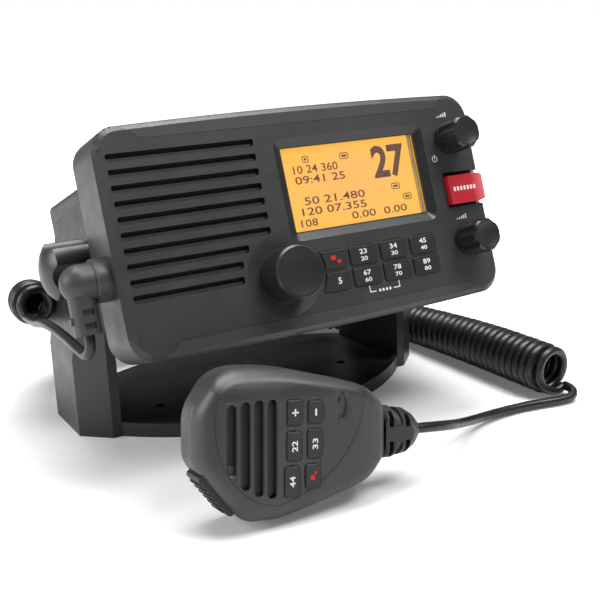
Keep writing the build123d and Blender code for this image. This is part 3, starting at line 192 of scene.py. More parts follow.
finishes = {
    "charcoal_plastic": moulded("charcoal_plastic", 0.185, 0.215, 0.40),
    "grey_plastic": moulded("grey_plastic", 0.150, 0.180, 0.40),
    "trim_plastic": moulded("trim_plastic", 0.235, 0.262, 0.36),
    "knob_plastic": moulded("knob_plastic", 0.11, 0.14, 0.34),
    "key_rubber": moulded("key_rubber", 0.095, 0.115, 0.46, 3200.0),
    "black_rubber": moulded("black_rubber", 0.115, 0.140, 0.42, 3200.0),
    "cord_rubber": moulded("cord_rubber", 0.07, 0.095, 0.32, 3600.0, 0.00001),
    "die_cast": moulded("die_cast", 0.15, 0.18, 0.48, 1500.0, 0.00006),
    "board_green": moulded(
        "board_green", (0.05, 0.22, 0.12), (0.07, 0.28, 0.15), 0.35, 900.0, 0.00002
    ),
    "black_cloth": moulded("black_cloth", 0.04, 0.07, 0.85, 2200.0, 0.0001),
    "cone_paper": moulded("cone_paper", 0.1, 0.14, 0.8, 1300.0, 0.0001),
    "nylon": moulded("nylon", 0.2, 0.24, 0.45),
    "steel": moulded("steel", 0.72, 0.8, 0.3, 1800.0, 0.00001, metallic=1.0),
    "nickel": moulded("nickel", 0.82, 0.9, 0.18, 900.0, 0.000005, metallic=1.0),
    "brass": moulded(
        "brass", (0.80, 0.66, 0.36), (0.88, 0.74, 0.44), 0.28, 1200.0, 0.00001, metallic=1.0
    ),
    "red_key": moulded("red_key", (0.62, 0.03, 0.07), (0.68, 0.05, 0.09), 0.3, 900.0, 0.00001),
    "white_ink": moulded("white_ink", 0.86, 0.92, 0.5, 3000.0, 0.000005),
    "red_ink": moulded("red_ink", (0.78, 0.06, 0.07), (0.86, 0.10, 0.10), 0.5, 3000.0, 0.000005),
    "brown_figures": moulded(
        "brown_figures", (0.34, 0.15, 0.05), (0.38, 0.18, 0.07), 0.6, 3000.0, 0.000005
    ),
    # black for printed marks, the seam and the floors of small recesses, and painted shade in
    # slots, gaps and wells
    "black_ink_and_shade": moulded("black_ink_and_shade", 0.03, 0.05, 0.55, 2600.0),
    "grille_cloth": moulded("grille_cloth", 0.13, 0.18, 0.8, 2200.0, 0.00005),
}

# %% [markdown]
# ## The cord
# One cord of 4.8 mm rubber runs from the plug to the microphone: a short lead, a curly part, and
# a straight tail. The lead and the tail are NURBS splines through a few control points, which
# gives one smooth bend after another, as rubber does. The curly part is a helix, and its points
# are worked out along a NURBS route, so that the coil can bow and sag as one soft spring.


# %% A smooth line through a route
def spline(name, points, radius=0.0, resolution=12):
    """A NURBS curve whose control points are these points in metres."""
    data = bpy.data.curves.new(name, "CURVE")
    data.dimensions = "3D"
    line = data.splines.new("NURBS")
    line.points.add(len(points) - 1)
    for spot, place in zip(line.points, points):
        spot.co = (*place, 1.0)
    line.order_u = 3
    line.use_endpoint_u = True
    line.resolution_u = resolution
    data.bevel_depth = radius
    data.bevel_resolution = 4
    data.use_fill_caps = radius > 0
    obj = bpy.data.objects.new(name, data)
    bpy.context.scene.collection.objects.link(obj)
    return obj


def read_route(points):
    """The points that a bare NURBS line passes through."""
    bare = spline("route", points)
    bpy.context.view_layer.update()
    mesh = bpy.data.meshes.new_from_object(bare)
    spots = [v.co.copy() for v in mesh.vertices]
    bpy.data.objects.remove(bare)
    bpy.data.meshes.remove(mesh)
    return spots


def length_of(spots):
    """The length of a line of points."""
    return sum((b - a).length for a, b in zip(spots, spots[1:]))


def millimetres(points):
    """Points in millimetres, in metres."""
    return [Vector(p) * MM for p in points]


CORD_R = 2.4 * MM
ELBOW_X = -115.5
NECK_BENCH = (-12.2 - 22.9, 38.5)
neck_end = RADIO_BENCH @ (Vector((ELBOW_X, NECK_BENCH[0], NECK_BENCH[1])) * MM)
neck_run = RADIO_BENCH @ (Vector((ELBOW_X, NECK_BENCH[0] - 4.2, NECK_BENCH[1])) * MM)
relief_end = MIC_BENCH @ (Vector((108.6, 0, 0)) * MM)
relief_run = MIC_BENCH @ (Vector((125.6, 0, 0)) * MM)
LEAD_ROUTE = [neck_end, neck_run] + millimetres([
    (-116.2, -55.6, 65.8),
    (-116.6, -51.9, 63.5),
    (-117.1, -44.3, 64.2),
    (-117.6, -31.5, 65.8),
    (-118.2, -12.0, 66.4),
    (-118.6, 6.0, 65.0),
    (-118.0, 22.5, 60.0),
    (-118.0, 38.0, 60.0),
])
COIL_ROUTE = millimetres([
    (-112.6, 38.0, 65.0),
    (-112.6, 50.0, 65.0),
    (-108.4, 62.5, 61.0),
    (-100.5, 77.0, 56.0),
    (-95.6, 94.5, 49.0),
    (-82.0, 107.0, 38.5),
    (-58.0, 110.3, 26.0),
    (-28.0, 110.2, 15.5),
    (8.0, 108.5, 12.4),
    (48.0, 102.5, 12.3),
    (86.0, 87.5, 12.5),
    (116.0, 62.5, 12.3),
    (122.5, 22.0, 12.4),
    (126.5, -14.0, 12.3),
    (128.4, -52.0, 12.4),
    (128.4, -91.0, 12.4),
])
TAIL_ROUTE = millimetres([
    (134.5, -91.0, 5.0),
    (134.5, -97.6, 5.0),
    (129.5, -102.2, 3.0),
    (119.5, -101.0, 2.7),
    (104.0, -97.0, 2.7),
    (86.0, -95.4, 2.8),
    (68.0, -98.5, 4.6),
    (47.5, -109.0, 10.6),
]) + [relief_run, relief_end]
for label, points in (("lead", LEAD_ROUTE), ("coil", COIL_ROUTE), ("tail", TAIL_ROUTE)):
    print(label, "route is", round(length_of(read_route(points)), 4), "m")

# %% [markdown]
# A helix is a point that circles while it travels. The circle needs two axes square to the route
# that never spin on their own, so each step carries the last axis along and squares it up again.
# A stretched coil relaxes towards its free end, so the turns grow there and then close again to
# meet the straight cord. As they grow their centre is lifted, because they lie on the table.

# %% The curly part
TURN_PITCH = 5.05 * MM
TURN_R = 9.3 * MM
LOOSE_GROWTH = 2.4 * MM
LOOSE_FROM = 0.62
LOOSE_FULL = 0.94
POINTS_PER_TURN = 14
GROWTH_TURNS = 0.9
JOIN_TURNS = 0.8


def carried_axes(spots):
    """For each point of a line: its direction, and two axes across it that never spin."""
    frames = []
    across = None
    for index, here in enumerate(spots):
        before = spots[max(index - 1, 0)]
        after = spots[min(index + 1, len(spots) - 1)]
        along = (after - before).normalized()
        if across is None:
            across = along.orthogonal().normalized()
        across = (across - along * across.dot(along)).normalized()
        frames.append((here, along, across, along.cross(across)))
    return frames


def smooth(value):
    """0 to 1 with a soft start and a soft end."""
    value = min(max(value, 0.0), 1.0)
    return value * value * (3 - 2 * value)


def helix(spots, start, end):
    """Points of a helix along a line, from the side of start to the side of end."""
    frames = carried_axes(spots)
    runs = [0.0]
    for a, b in zip(spots, spots[1:]):
        runs.append(runs[-1] + (b - a).length)
    total = runs[-1]

    def side_of(place, at):
        here, along, one, two = at
        out = place - here
        return math.atan2(out.dot(two), out.dot(one)), out.length

    first, first_r = side_of(start, frames[0])
    last, last_r = side_of(end, frames[-1])
    turns = round(total / TURN_PITCH) + (last - first) / math.tau
    steps = int(turns * POINTS_PER_TURN)
    made = []
    index = 0
    for step in range(steps + 1):
        share = step / steps
        turned = share * turns
        left = turns - turned
        reach = share * total
        while index < len(runs) - 2 and runs[index + 1] < reach:
            index += 1
        part = (reach - runs[index]) / max(runs[index + 1] - runs[index], 1e-9)
        here = spots[index].lerp(spots[index + 1], part)
        one = frames[index][2].lerp(frames[index + 1][2], part).normalized()
        two = frames[index][3].lerp(frames[index + 1][3], part).normalized()
        loose = smooth((share - LOOSE_FROM) / (LOOSE_FULL - LOOSE_FROM))
        growth = LOOSE_GROWTH * loose * smooth(left / GROWTH_TURNS)
        at_start = (first_r - TURN_R) * (1 - smooth(turned / JOIN_TURNS))
        at_end = (last_r - TURN_R) * (1 - smooth(left / JOIN_TURNS))
        radius = TURN_R + growth + (at_start + at_end)
        angle = first + turned * math.tau
        lift = Vector((-growth, 0, growth))
        made.append(here + lift + (one * math.cos(angle) + two * math.sin(angle)) * radius)
    return made, turns


coil_points, coil_turns = helix(read_route(COIL_ROUTE), LEAD_ROUTE[-1], TAIL_ROUTE[0])
coil = spline("curly_cord", coil_points, CORD_R, 2)
coil.data.bevel_resolution = 2
coil.data.materials.append(finishes["cord_rubber"])
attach(coil, "bracket")
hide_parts("cord_coil")
coil_length = length_of(read_route(coil_points))
print("coil", round(coil_turns, 2), "turns,", round(coil_length, 3), "m of cord")

# %% [markdown]
# The lead bends when the radio tilts, and the tail lifts with the microphone. A piece that bends
# between two bodies has to be a mesh, so each curve is converted once its shape is final.


# %% The lead and the tail
def only(obj):
    """Selects this object alone and makes it active."""
    bpy.ops.object.select_all(action="DESELECT")
    obj.select_set(True)
    bpy.context.view_layer.objects.active = obj


def as_mesh(obj):
    """Turns a curve or text into a mesh, with its place in its points."""
    only(obj)
    bpy.ops.object.convert(target="MESH")
    obj = bpy.context.object
    obj.data.transform(obj.matrix_world)
    obj.matrix_world = Matrix.Identity(4)
    return obj


def straight_cord(name, route, stands_for):
    """A plain cord along a route between two bodies, as a mesh in place of a CAD part."""
    obj = as_mesh(spline(name, route, CORD_R))
    bpy.ops.object.shade_smooth()
    obj.data.materials.append(finishes["cord_rubber"])
    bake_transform(obj)
    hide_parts(stands_for)
    return obj


lead = straight_cord(
    "lead", LEAD_ROUTE, "cord_lead"
)
tail = straight_cord(
    "tail", TAIL_ROUTE, "cord_tail"
)
lead_path = read_route(LEAD_ROUTE)
tail_path = read_route(TAIL_ROUTE)
print("lead", round(length_of(lead_path), 3), "m, tail", round(length_of(tail_path), 3), "m")

# %% [markdown]
# ## Finishes on the CAD parts
# Most CAD parts already have their shape, and only need the right surface. Three need more than a
# moulded one. The window is clear. The amber plate glows, a little paler round its middle. The red
# cover is paler at its thin free end, a painted highlight where the light catches it, so its colour
# follows its X coordinate.

# %% Give each CAD node its finish
AMBER_MIDDLE = (25.0, 14.0, 49.2)
AMBER_SPREAD = (42.0, 100.0, 22.0)
# painted highlight: the red cover turns paler along X towards its free end
HIGHLIGHT_FROM, HIGHLIGHT_TO = 93.5, 99.5

window_glass, _, window_shader = new_material("clear_window")
window_shader.inputs["Base Color"].default_value = (1.0, 0.97, 0.9, 1)
window_shader.inputs["Transmission Weight"].default_value = 1.0
window_shader.inputs["IOR"].default_value = 1.49
window_shader.inputs["Roughness"].default_value = 0.0
window_shader.inputs["Specular IOR Level"].default_value = 0.1
finishes["clear_window"] = window_glass

amber, amber_tree, amber_shader = new_material("amber_panel")
amber_place = amber_tree.nodes.new("ShaderNodeTexCoord")
turned = amber_tree.nodes.new("ShaderNodeMapping")
turned.vector_type = "TEXTURE"
turned.inputs["Location"].default_value = RADIO_BENCH @ (Vector(AMBER_MIDDLE) * MM)
turned.inputs["Rotation"].default_value = (math.radians(-TILT_BACK), 0, 0)
turned.inputs["Scale"].default_value = [x * MM for x in AMBER_SPREAD]
reach = amber_tree.nodes.new("ShaderNodeVectorMath")
reach.operation = "LENGTH"
glow_ramp = amber_tree.nodes.new("ShaderNodeValToRGB")
glow_ramp.color_ramp.elements[0].position = 0.25
glow_ramp.color_ramp.elements[0].color = (*linear((0.96, 0.66, 0.28)), 1)
glow_ramp.color_ramp.elements[1].position = 1.15
glow_ramp.color_ramp.elements[1].color = (*linear((0.96, 0.70, 0.12)), 1)
amber_tree.links.new(amber_place.outputs["Object"], turned.inputs["Vector"])
amber_tree.links.new(turned.outputs["Vector"], reach.inputs[0])
amber_tree.links.new(reach.outputs["Value"], glow_ramp.inputs["Fac"])
amber_tree.links.new(glow_ramp.outputs["Color"], amber_shader.inputs["Emission Color"])
amber_shader.inputs["Base Color"].default_value = (0.25, 0.16, 0.05, 1)
amber_shader.inputs["Roughness"].default_value = 0.5
amber_shader.inputs["Emission Strength"].default_value = 0.92
finishes["amber_panel"] = amber

cover_red, cover_tree, cover_shader = new_material("red_cover")
cover_place = cover_tree.nodes.new("ShaderNodeTexCoord")
axes = cover_tree.nodes.new("ShaderNodeSeparateXYZ")
span = cover_tree.nodes.new("ShaderNodeMapRange")
span.inputs["From Min"].default_value = HIGHLIGHT_FROM * MM
span.inputs["From Max"].default_value = HIGHLIGHT_TO * MM
# painted highlight: red at the hinge side, pale pink at the free end
cover_highlight_ramp = cover_tree.nodes.new("ShaderNodeValToRGB")
cover_highlight_ramp.color_ramp.elements[0].color = (*linear((0.80, 0.14, 0.20)), 1)
cover_highlight_ramp.color_ramp.elements[1].color = (*linear((0.93, 0.42, 0.48)), 1)
cover_tree.links.new(cover_place.outputs["Object"], axes.inputs[0])
cover_tree.links.new(axes.outputs["X"], span.inputs["Value"])
cover_tree.links.new(span.outputs["Result"], cover_highlight_ramp.inputs["Fac"])
cover_tree.links.new(cover_highlight_ramp.outputs["Color"], cover_shader.inputs["Base Color"])
cover_shader.inputs["Roughness"].default_value = 0.22
cover_shader.inputs["Transmission Weight"].default_value = 0.15
cover_shader.inputs["Coat Weight"].default_value = 0.5
finishes["red_cover"] = cover_red

for name, node in nodes.items():
    node.data.materials.clear()
    node.data.materials.append(finishes[slot_of[name]])
nodes["mic_speaker"].data.materials[0] = finishes["black_cloth"]
print(len(nodes), "nodes finished")

# %% [markdown]
# ## Working on the bench
# New pieces are modelled flat on a bench and carried to the object at the end. A few short helpers
# keep that readable: one picks faces by a test on their place and direction, one carries a piece
# over and gives it its finish, and one cuts a thin skin off a CAD part. The skin is the quickest
# way to paint one region of a part, because the part's own mesh is never changed.


# %% Helpers for modelling on a bench
def pick(obj, test):
    """In edit mode, selects the faces whose centre (in mm) and direction pass a test."""
    bpy.ops.mesh.select_mode(type="FACE")
    bpy.ops.mesh.select_all(action="DESELECT")
    mesh = bmesh.from_edit_mesh(obj.data)
    for face in mesh.faces:
        if test(face.calc_center_median() / MM, face.normal):
            face.select_set(True)
    bmesh.update_edit_mesh(obj.data)


def carry(obj, bench, body, material, smooth_angle=35.0):
    """Takes a finished drawing from its bench to the object, where it rides on a body."""
    only(obj)
    obj.data.transform(obj.matrix_world)
    obj.matrix_world = Matrix.Identity(4)
    obj.data.transform(bench)
    bpy.ops.object.shade_smooth_by_angle(angle=math.radians(smooth_angle))
    obj.data.materials.clear()
    obj.data.materials.append(material)
    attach(obj, body)
    return obj


def bench_copy(node, name, bench):
    """A merged copy of a CAD part, laid on its bench."""
    obj = nodes[node].copy()
    obj.data = nodes[node].data.copy()
    obj.name = name
    obj.parent = None
    bpy.context.scene.collection.objects.link(obj)
    obj.matrix_world = Matrix.Identity(4)
    obj.data.transform(bench.inverted())
    only(obj)
    bpy.ops.object.mode_set(mode="EDIT")
    bpy.ops.mesh.select_all(action="SELECT")
    bpy.ops.mesh.remove_doubles(threshold=0.000002)
    bpy.ops.object.mode_set(mode="OBJECT")
    return obj


def skin_of(node, name, bench, test, thickness, top=None, lift=0.0):
    """A thin skin over the faces of a CAD part that pass a test, cut off above top."""
    obj = bench_copy(node, name, bench)
    bpy.ops.object.mode_set(mode="EDIT")
    pick(obj, lambda centre, facing: not test(centre, facing))
    bpy.ops.mesh.delete(type="FACE")
    if top is not None:
        bpy.ops.mesh.select_all(action="SELECT")
        bpy.ops.mesh.bisect(plane_co=(0, 0, top * MM), plane_no=(0, 0, 1), clear_outer=True)
    bpy.ops.object.mode_set(mode="OBJECT")
    wall = obj.modifiers.new("wall", "SOLIDIFY")
    wall.thickness = thickness * MM
    wall.offset = 1.0
    wall.use_even_offset = True
    bpy.ops.object.modifier_apply(modifier="wall")
    obj.data.transform(Matrix.Translation((0, 0, lift * MM)))
    print(name, "has", len(obj.data.polygons), "faces")
    return obj


# %% [markdown]
# ## The face
# The face plate has a glossy edge all round, painted dark as a painted reflection, because a
# rounded glossy edge reflects the dark. The walls inside its speaker slots are painted black as
# painted shade. The well of the red cover is lined in black as painted shadow. The slope round the
# display is dark. Each is a skin of the bezel. The test is always the same idea: where is the face,
# and which way does it look?

# %% Dark skins on the bezel: a painted reflection, painted shade and painted shadow
BEZEL_SKINS = [
    # painted reflection: the glossy rounded rim is painted dark as the dark reflection it shows
    (
        "edge_band", "black_rubber", 0.03,
        lambda c, d: 0.15 < d.z < 0.97 and c.z > 50.5 and (abs(c.x) > 98.5 or abs(c.y) > 47.5),
    ),
    # painted shade: the walls inside the speaker slots are painted black as the shade in them
    (
        "slot_walls", "black_ink_and_shade", 0.06,
        lambda c, d: abs(d.z) < 0.5 and -100 < c.x < -25 and -28 < c.y < 41 and c.z > 50.0,
    ),
    # painted shadow: the well round the red cover is painted black as the shadow in its gap
    (
        "well_lining", "black_ink_and_shade", 0.05,
        lambda c, d: 77.5 < c.x < 102.5 and -7 < c.y < 12 and c.z > 40
        and (c.z < 53.0 or abs(d.z) < 0.5),
    ),
    (
        "display_slope", "knob_plastic", 0.05,
        lambda c, d: abs(d.z) < 0.96 and -17 < c.x < 71 and -12 < c.y < 40 and c.z > 49.0,
    ),
]
for name, finish, thickness, test in BEZEL_SKINS:
    skin = skin_of("front_bezel", name, RADIO_BENCH, test, thickness)
    carry(skin, RADIO_BENCH, "radio", finishes[finish])

# %% [markdown]
# A fine dark line runs round each trim and each key: the gap between two mouldings, full of shadow.
# The gap itself is thinner than a pixel, so a narrow black lip paints its shadow along the part's
# edge: painted shade. The lip is the skin of the part's side walls, cut off level with the face.

# %% Black lips of painted shade round the trims and the keys
TRIM_EDGE = 50.5


def is_wall(centre, facing):
    """True for a face that stands square to the bench."""
    return abs(facing.z) < 0.4


def is_inner_wall(centre, facing):
    """True for a trim's wall, but not for the one at the rim of the face."""
    return is_wall(centre, facing) and abs(centre.y) < TRIM_EDGE


def painted_shade_lip(node, bench, body, test, thickness, top=None, lift=0.0):
    """A black lip of painted shade along the walls of a CAD part that pass a test."""
    lip = skin_of(node, node + "_lip", bench, test, thickness, top, lift)
    carry(lip, bench, body, finishes["black_ink_and_shade"])


for node in ("top_trim", "bottom_trim"):
    painted_shade_lip(node, RADIO_BENCH, "radio", is_inner_wall, 0.28, lift=0.04)
for index in range(1, 9):
    node = "key_%d" % index
    painted_shade_lip(node, RADIO_BENCH, "radio", is_wall, 0.62, top=FACE_N + 0.06)
for index in range(1, 7):
    node = "mic_key_%d" % index
    painted_shade_lip(node, MIC_BENCH, "microphone", is_wall, 0.5, top=MIC_FACE + 0.05)

# %% [markdown]
# ## The display
# A liquid crystal display is dark figures over a lit amber plate, behind a clear pane. The figures
# here are plain numbers. Blender's text tool draws them: each line of text is sized to the room it
# has, turned into a mesh, and joined with the others. The small tags are a plane with its corners
# bevelled and its middle inset and cut out, which leaves a frame.


# %% Figures on the display
PANEL_N = 49.2
INK_LIFT = 0.06
CORNER_SHARE = 0.3
TAG_MARGIN = 1.1
TAG_HALF_BAR = 0.55
FIGURE_WEIGHT = 0.01


def text_line(text, left, base, right, height, bold=0.0):
    """A line of text on the bench (mm), stretched to run from left to right."""
    bpy.ops.object.select_all(action="DESELECT")
    bpy.ops.object.text_add(location=(0, 0, 0))
    obj = bpy.context.object
    obj.data.body = text
    obj.data.size = 1.0
    obj.data.offset = bold
    obj.data.resolution_u = 3
    obj = as_mesh(obj)
    xs = [v.co.x for v in obj.data.vertices]
    ys = [v.co.y for v in obj.data.vertices]
    foot = min(min(ys), 0.0)
    across = (right - left) * MM / (max(xs) - min(xs))
    tall = height * MM / (max(ys) - foot)
    to_corner = Matrix.Translation((-min(xs), -foot, 0))
    obj.data.transform(Matrix.Diagonal((across, tall, 1, 1)) @ to_corner)
    obj.data.transform(Matrix.Translation((left * MM, base * MM, 0)))
    return obj


def bar(left, base, right, top):
    """A plain flat bar with bevelled corners on the bench (mm)."""
    bpy.ops.object.select_all(action="DESELECT")
    middle = ((left + right) / 2 * MM, (base + top) / 2 * MM, 0)
    bpy.ops.mesh.primitive_plane_add(size=1, location=middle)
    obj = bpy.context.object
    obj.scale = ((right - left) * MM, (top - base) * MM, 1)
    bpy.ops.object.transform_apply(location=True, rotation=True, scale=True)
    corner = CORNER_SHARE * min(right - left, top - base) * MM
    bpy.ops.object.mode_set(mode="EDIT")
    bpy.ops.mesh.select_all(action="SELECT")
    bpy.ops.mesh.bevel(offset=corner, segments=3, affect="VERTICES")
    bpy.ops.object.mode_set(mode="OBJECT")
    return obj


def tag(left, base, right, top, line=0.45):
    """A rounded frame with a short bar inside."""
    obj = bar(left, base, right, top)
    bpy.ops.object.mode_set(mode="EDIT")
    bpy.ops.mesh.select_all(action="SELECT")
    bpy.ops.mesh.inset(thickness=line * MM)
    bpy.ops.mesh.delete(type="FACE")
    bpy.ops.object.mode_set(mode="OBJECT")
    middle = (base + top) / 2
    inner = bar(left + TAG_MARGIN, middle - TAG_HALF_BAR, right - TAG_MARGIN, middle + TAG_HALF_BAR)
    return joined([obj, inner])


def joined(parts):
    """Several drawings as one mesh."""
    bpy.ops.object.select_all(action="DESELECT")
    for obj in parts:
        obj.select_set(True)
    bpy.context.view_layer.objects.active = parts[0]
    bpy.ops.object.join()
    return bpy.context.object


figures = joined([
    text_line("27", 40.0, 13.8, 60.2, 16.6, bold=0.035),
    text_line("10 24 360", -5.2, 21.2, 19.8, 4.0, FIGURE_WEIGHT),
    text_line("09:41 25", -5.2, 16.2, 23.0, 3.8, FIGURE_WEIGHT),
    text_line("50 21.480", -2.4, 6.0, 32.2, 3.8, FIGURE_WEIGHT),
    text_line("120 07.355", -4.8, 1.0, 32.0, 3.8, FIGURE_WEIGHT),
    text_line("108", -6.6, -4.3, 2.7, 3.6, FIGURE_WEIGHT),
    text_line("0.00  0.00", 22.4, -3.9, 55.4, 3.6, FIGURE_WEIGHT),
    tag(0.7, 26.2, 4.3, 29.6),
    tag(21.8, 25.8, 27.0, 29.0),
    tag(48.6, 7.6, 53.8, 10.8),
    tag(54.5, 1.7, 59.7, 4.9),
])
figures.name = "display_figures"
figures.data.transform(Matrix.Translation((0, 0, (PANEL_N + INK_LIFT) * MM)))
carry(figures, RADIO_BENCH, "radio", finishes["brown_figures"])
print("display figures", len(figures.data.polygons), "faces")

# %% [markdown]
# The clear pane starts as a cube of the window's size. Its front edges are bevelled, which gives
# the pane a bright line where light catches it. At the right a strip of pale light guide shows
# between the plate and the frame.

# %% The clear pane and the light guide
def slab(name, middle, size):
    """A box on the bench (mm), left in edit mode with every face selected."""
    bpy.ops.object.select_all(action="DESELECT")
    bpy.ops.mesh.primitive_cube_add(size=1, location=[x * MM for x in middle])
    obj = bpy.context.object
    obj.name = name
    obj.scale = [x * MM for x in size]
    bpy.ops.object.transform_apply(location=True, rotation=True, scale=True)
    bpy.ops.object.mode_set(mode="EDIT")
    bpy.ops.mesh.select_all(action="SELECT")
    return obj


pane = slab("display_pane", (27.15, 13.7, 50.55), (80.0, 43.0, 0.7))
pick(pane, lambda c, d: d.z > 0.9)
bpy.ops.mesh.bevel(offset=0.25 * MM, segments=2)
bpy.ops.object.mode_set(mode="OBJECT")
carry(pane, RADIO_BENCH, "radio", finishes["clear_window"])
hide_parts("display_window")

guide = slab("light_guide", (64.6, 13.7, 49.6), (2.2, 40.4, 0.7))
bpy.ops.mesh.bevel(offset=0.2 * MM, segments=2)
bpy.ops.object.mode_set(mode="OBJECT")
guide_finish = moulded(
    "light_guide", (0.62, 0.52, 0.36), (0.74, 0.68, 0.55), 0.25, 500.0, 0.00002, broad=120.0
)
carry(guide, RADIO_BENCH, "radio", guide_finish)

# %% [markdown]
# ## Printed marks
# White marks sit on the keys and beside the knobs. They are plain numbers, bars, a rising wedge
# for each level control and the usual power sign. A mark is a flat mesh that Shrinkwrap lays on
# the surface under it, a few hundredths of a millimetre above, so it follows a dished knob too.


# %% Lay marks on the surface
PRINT_LIFT = 0.05


def printed(name, parts, height, bench, onto, body, ink):
    """Joins flat drawings and lays them on a CAD part."""
    obj = joined(parts) if len(parts) > 1 else parts[0]
    obj.name = name
    obj.data.transform(Matrix.Translation((0, 0, height * MM)))
    carry(obj, bench, body, finishes[ink])
    wrap = obj.modifiers.new("lay", "SHRINKWRAP")
    wrap.target = nodes[onto]
    wrap.wrap_method = "NEAREST_SURFACEPOINT"
    wrap.wrap_mode = "ABOVE_SURFACE"
    wrap.offset = PRINT_LIFT * MM
    only(obj)
    bpy.ops.object.modifier_apply(modifier="lay")
    return obj


def turned_mark(obj, degrees, at):
    """Turns a flat drawing about the bench's origin and moves it to a place (mm)."""
    turn = Matrix.Rotation(math.radians(degrees), 4, "Z")
    obj.data.transform(Matrix.Translation((at[0] * MM, at[1] * MM, 0)) @ turn)
    return obj


KEY_U = [3.4, 21.0, 39.0, 57.1]
KEY_V = [-22.2, -32.7]
FIRST_COLUMN_SHIFT = 1.6
KEY_MARK_N = 54.9
BOLD = 0.02
for row, v in enumerate(KEY_V):
    for column, u in enumerate(KEY_U):
        index = row * 4 + column + 1
        mid = u + (FIRST_COLUMN_SHIFT if column == 0 else 0.0)
        ink = "white_ink"
        if index == 1:
            parts = [
                bar(mid - 2.6, v - 0.2, mid + 0.2, v + 1.9),
                bar(mid + 0.6, v - 2.0, mid + 2.6, v - 0.4),
            ]
            ink = "red_ink"
        elif index == 5:
            parts = [text_line("5", mid - 1.0, v - 1.5, mid + 1.0, 3.1, BOLD)]
        else:
            pair = "%d%d" % (index, index + 1)
            parts = [
                text_line(pair, mid - 2.2, v + 0.3, mid + 2.2, 2.5, BOLD),
                text_line("%d0" % index, mid - 2.0, v - 3.0, mid + 2.0, 2.1, BOLD),
            ]
        node = "key_%d" % index
        printed("key_mark_%d" % index, parts, KEY_MARK_N, RADIO_BENCH, node, node, ink)
print("8 key marks")

# %% [markdown]
# The face carries a rising wedge above each level control, the power sign and a bracket of bars
# under the keys. A part of a ring is a short edge that the spin tool turns about the origin. The
# knobs get dark marks: one pointer on each level knob, and a ring of ticks on the channel knob.


# %% Marks on the face and on the knobs
WEDGE_BARS = 5
WEDGE_FILL = 0.62


def wedge(left, base, right, top):
    """Rising bars, the usual sign of a level."""
    step = (right - left) / WEDGE_BARS
    rise = (top - base) / WEDGE_BARS
    return [
        bar(left + i * step, base, left + (i + WEDGE_FILL) * step, base + rise * (i + 1))
        for i in range(WEDGE_BARS)
    ]


def ring_mark(radius, line, start, end, at):
    """Part of a ring, drawn by spinning a short edge."""
    bpy.ops.object.select_all(action="DESELECT")
    steps = max(int((end - start) / 10), 2)
    bpy.ops.mesh.primitive_plane_add(size=1, location=(0, 0, 0))
    obj = bpy.context.object
    obj.scale = (line * MM, 0.001 * MM, 1)
    obj.location = (radius * MM, 0, 0)
    bpy.ops.object.transform_apply(location=True, rotation=True, scale=True)
    bpy.ops.object.mode_set(mode="EDIT")
    bpy.ops.mesh.select_all(action="SELECT")
    bpy.ops.mesh.remove_doubles(threshold=0.00001)
    bpy.ops.mesh.select_all(action="SELECT")
    sweep = math.radians(end - start)
    bpy.ops.mesh.spin(steps=steps, angle=sweep, center=(0, 0, 0), axis=(0, 0, -1))
    bpy.ops.object.mode_set(mode="OBJECT")
    return turned_mark(obj, start, at)


KNOB_U = 86.3
VOLUME_V, SQUELCH_V = 29.0, -24.1
CHANNEL_AT = (-23.3, -25.5)
POINTER_DEGREES = 222.0
TICK_FROM, TICK_STEP, TICKS = 28.0, 11.0, 16
POWER_AT = (75.4, 19.4)

legend = [
    bar(20.9, -41.0, 21.4, -37.0),
    bar(20.9, -41.2, 24.6, -40.7),
    bar(34.8, -41.2, 38.9, -40.7),
    bar(38.4, -41.2, 38.9, -37.0),
    *[bar(26.2 + i * 2.0, -41.6, 27.4 + i * 2.0, -40.2) for i in range(4)],
]
face_marks = wedge(81.6, 40.4, 88.6, 42.9) + wedge(81.6, -13.2, 88.6, -10.7) + legend
face_marks += [ring_mark(1.45, 0.45, 120, 420, POWER_AT), bar(75.15, 19.2, 75.65, 21.6)]
printed("face_marks", face_marks, 54.2, RADIO_BENCH, "front_bezel", "radio", "white_ink")

for knob, v in (("volume_knob", VOLUME_V), ("squelch_knob", SQUELCH_V)):
    pointer = turned_mark(bar(4.6, -0.28, 7.4, 0.28), POINTER_DEGREES, (KNOB_U, v))
    printed(knob + "_pointer", [pointer], 70.6, RADIO_BENCH, knob, knob, "black_ink_and_shade")
ticks = []
for i in range(TICKS):
    inner = 9.4 - (0.9 if i % 3 == 0 else 0.0)
    tick = bar(inner, -0.3, 11.0, 0.3)
    ticks.append(turned_mark(tick, TICK_FROM + i * TICK_STEP, CHANNEL_AT))
printed("channel_ticks", ticks, 70.2, RADIO_BENCH, "channel_knob", "channel_knob", "black_ink_and_shade")
print("marks on the face and the knobs")

# %% [markdown]
# Each speaker slot has a ledge in its lower half, and the slot is cut right through at its right
# end. Thin black bars laid on the ledge paint the shade there: a fine line of painted shade along
# the foot of the ledge, and painted shade in the open end.

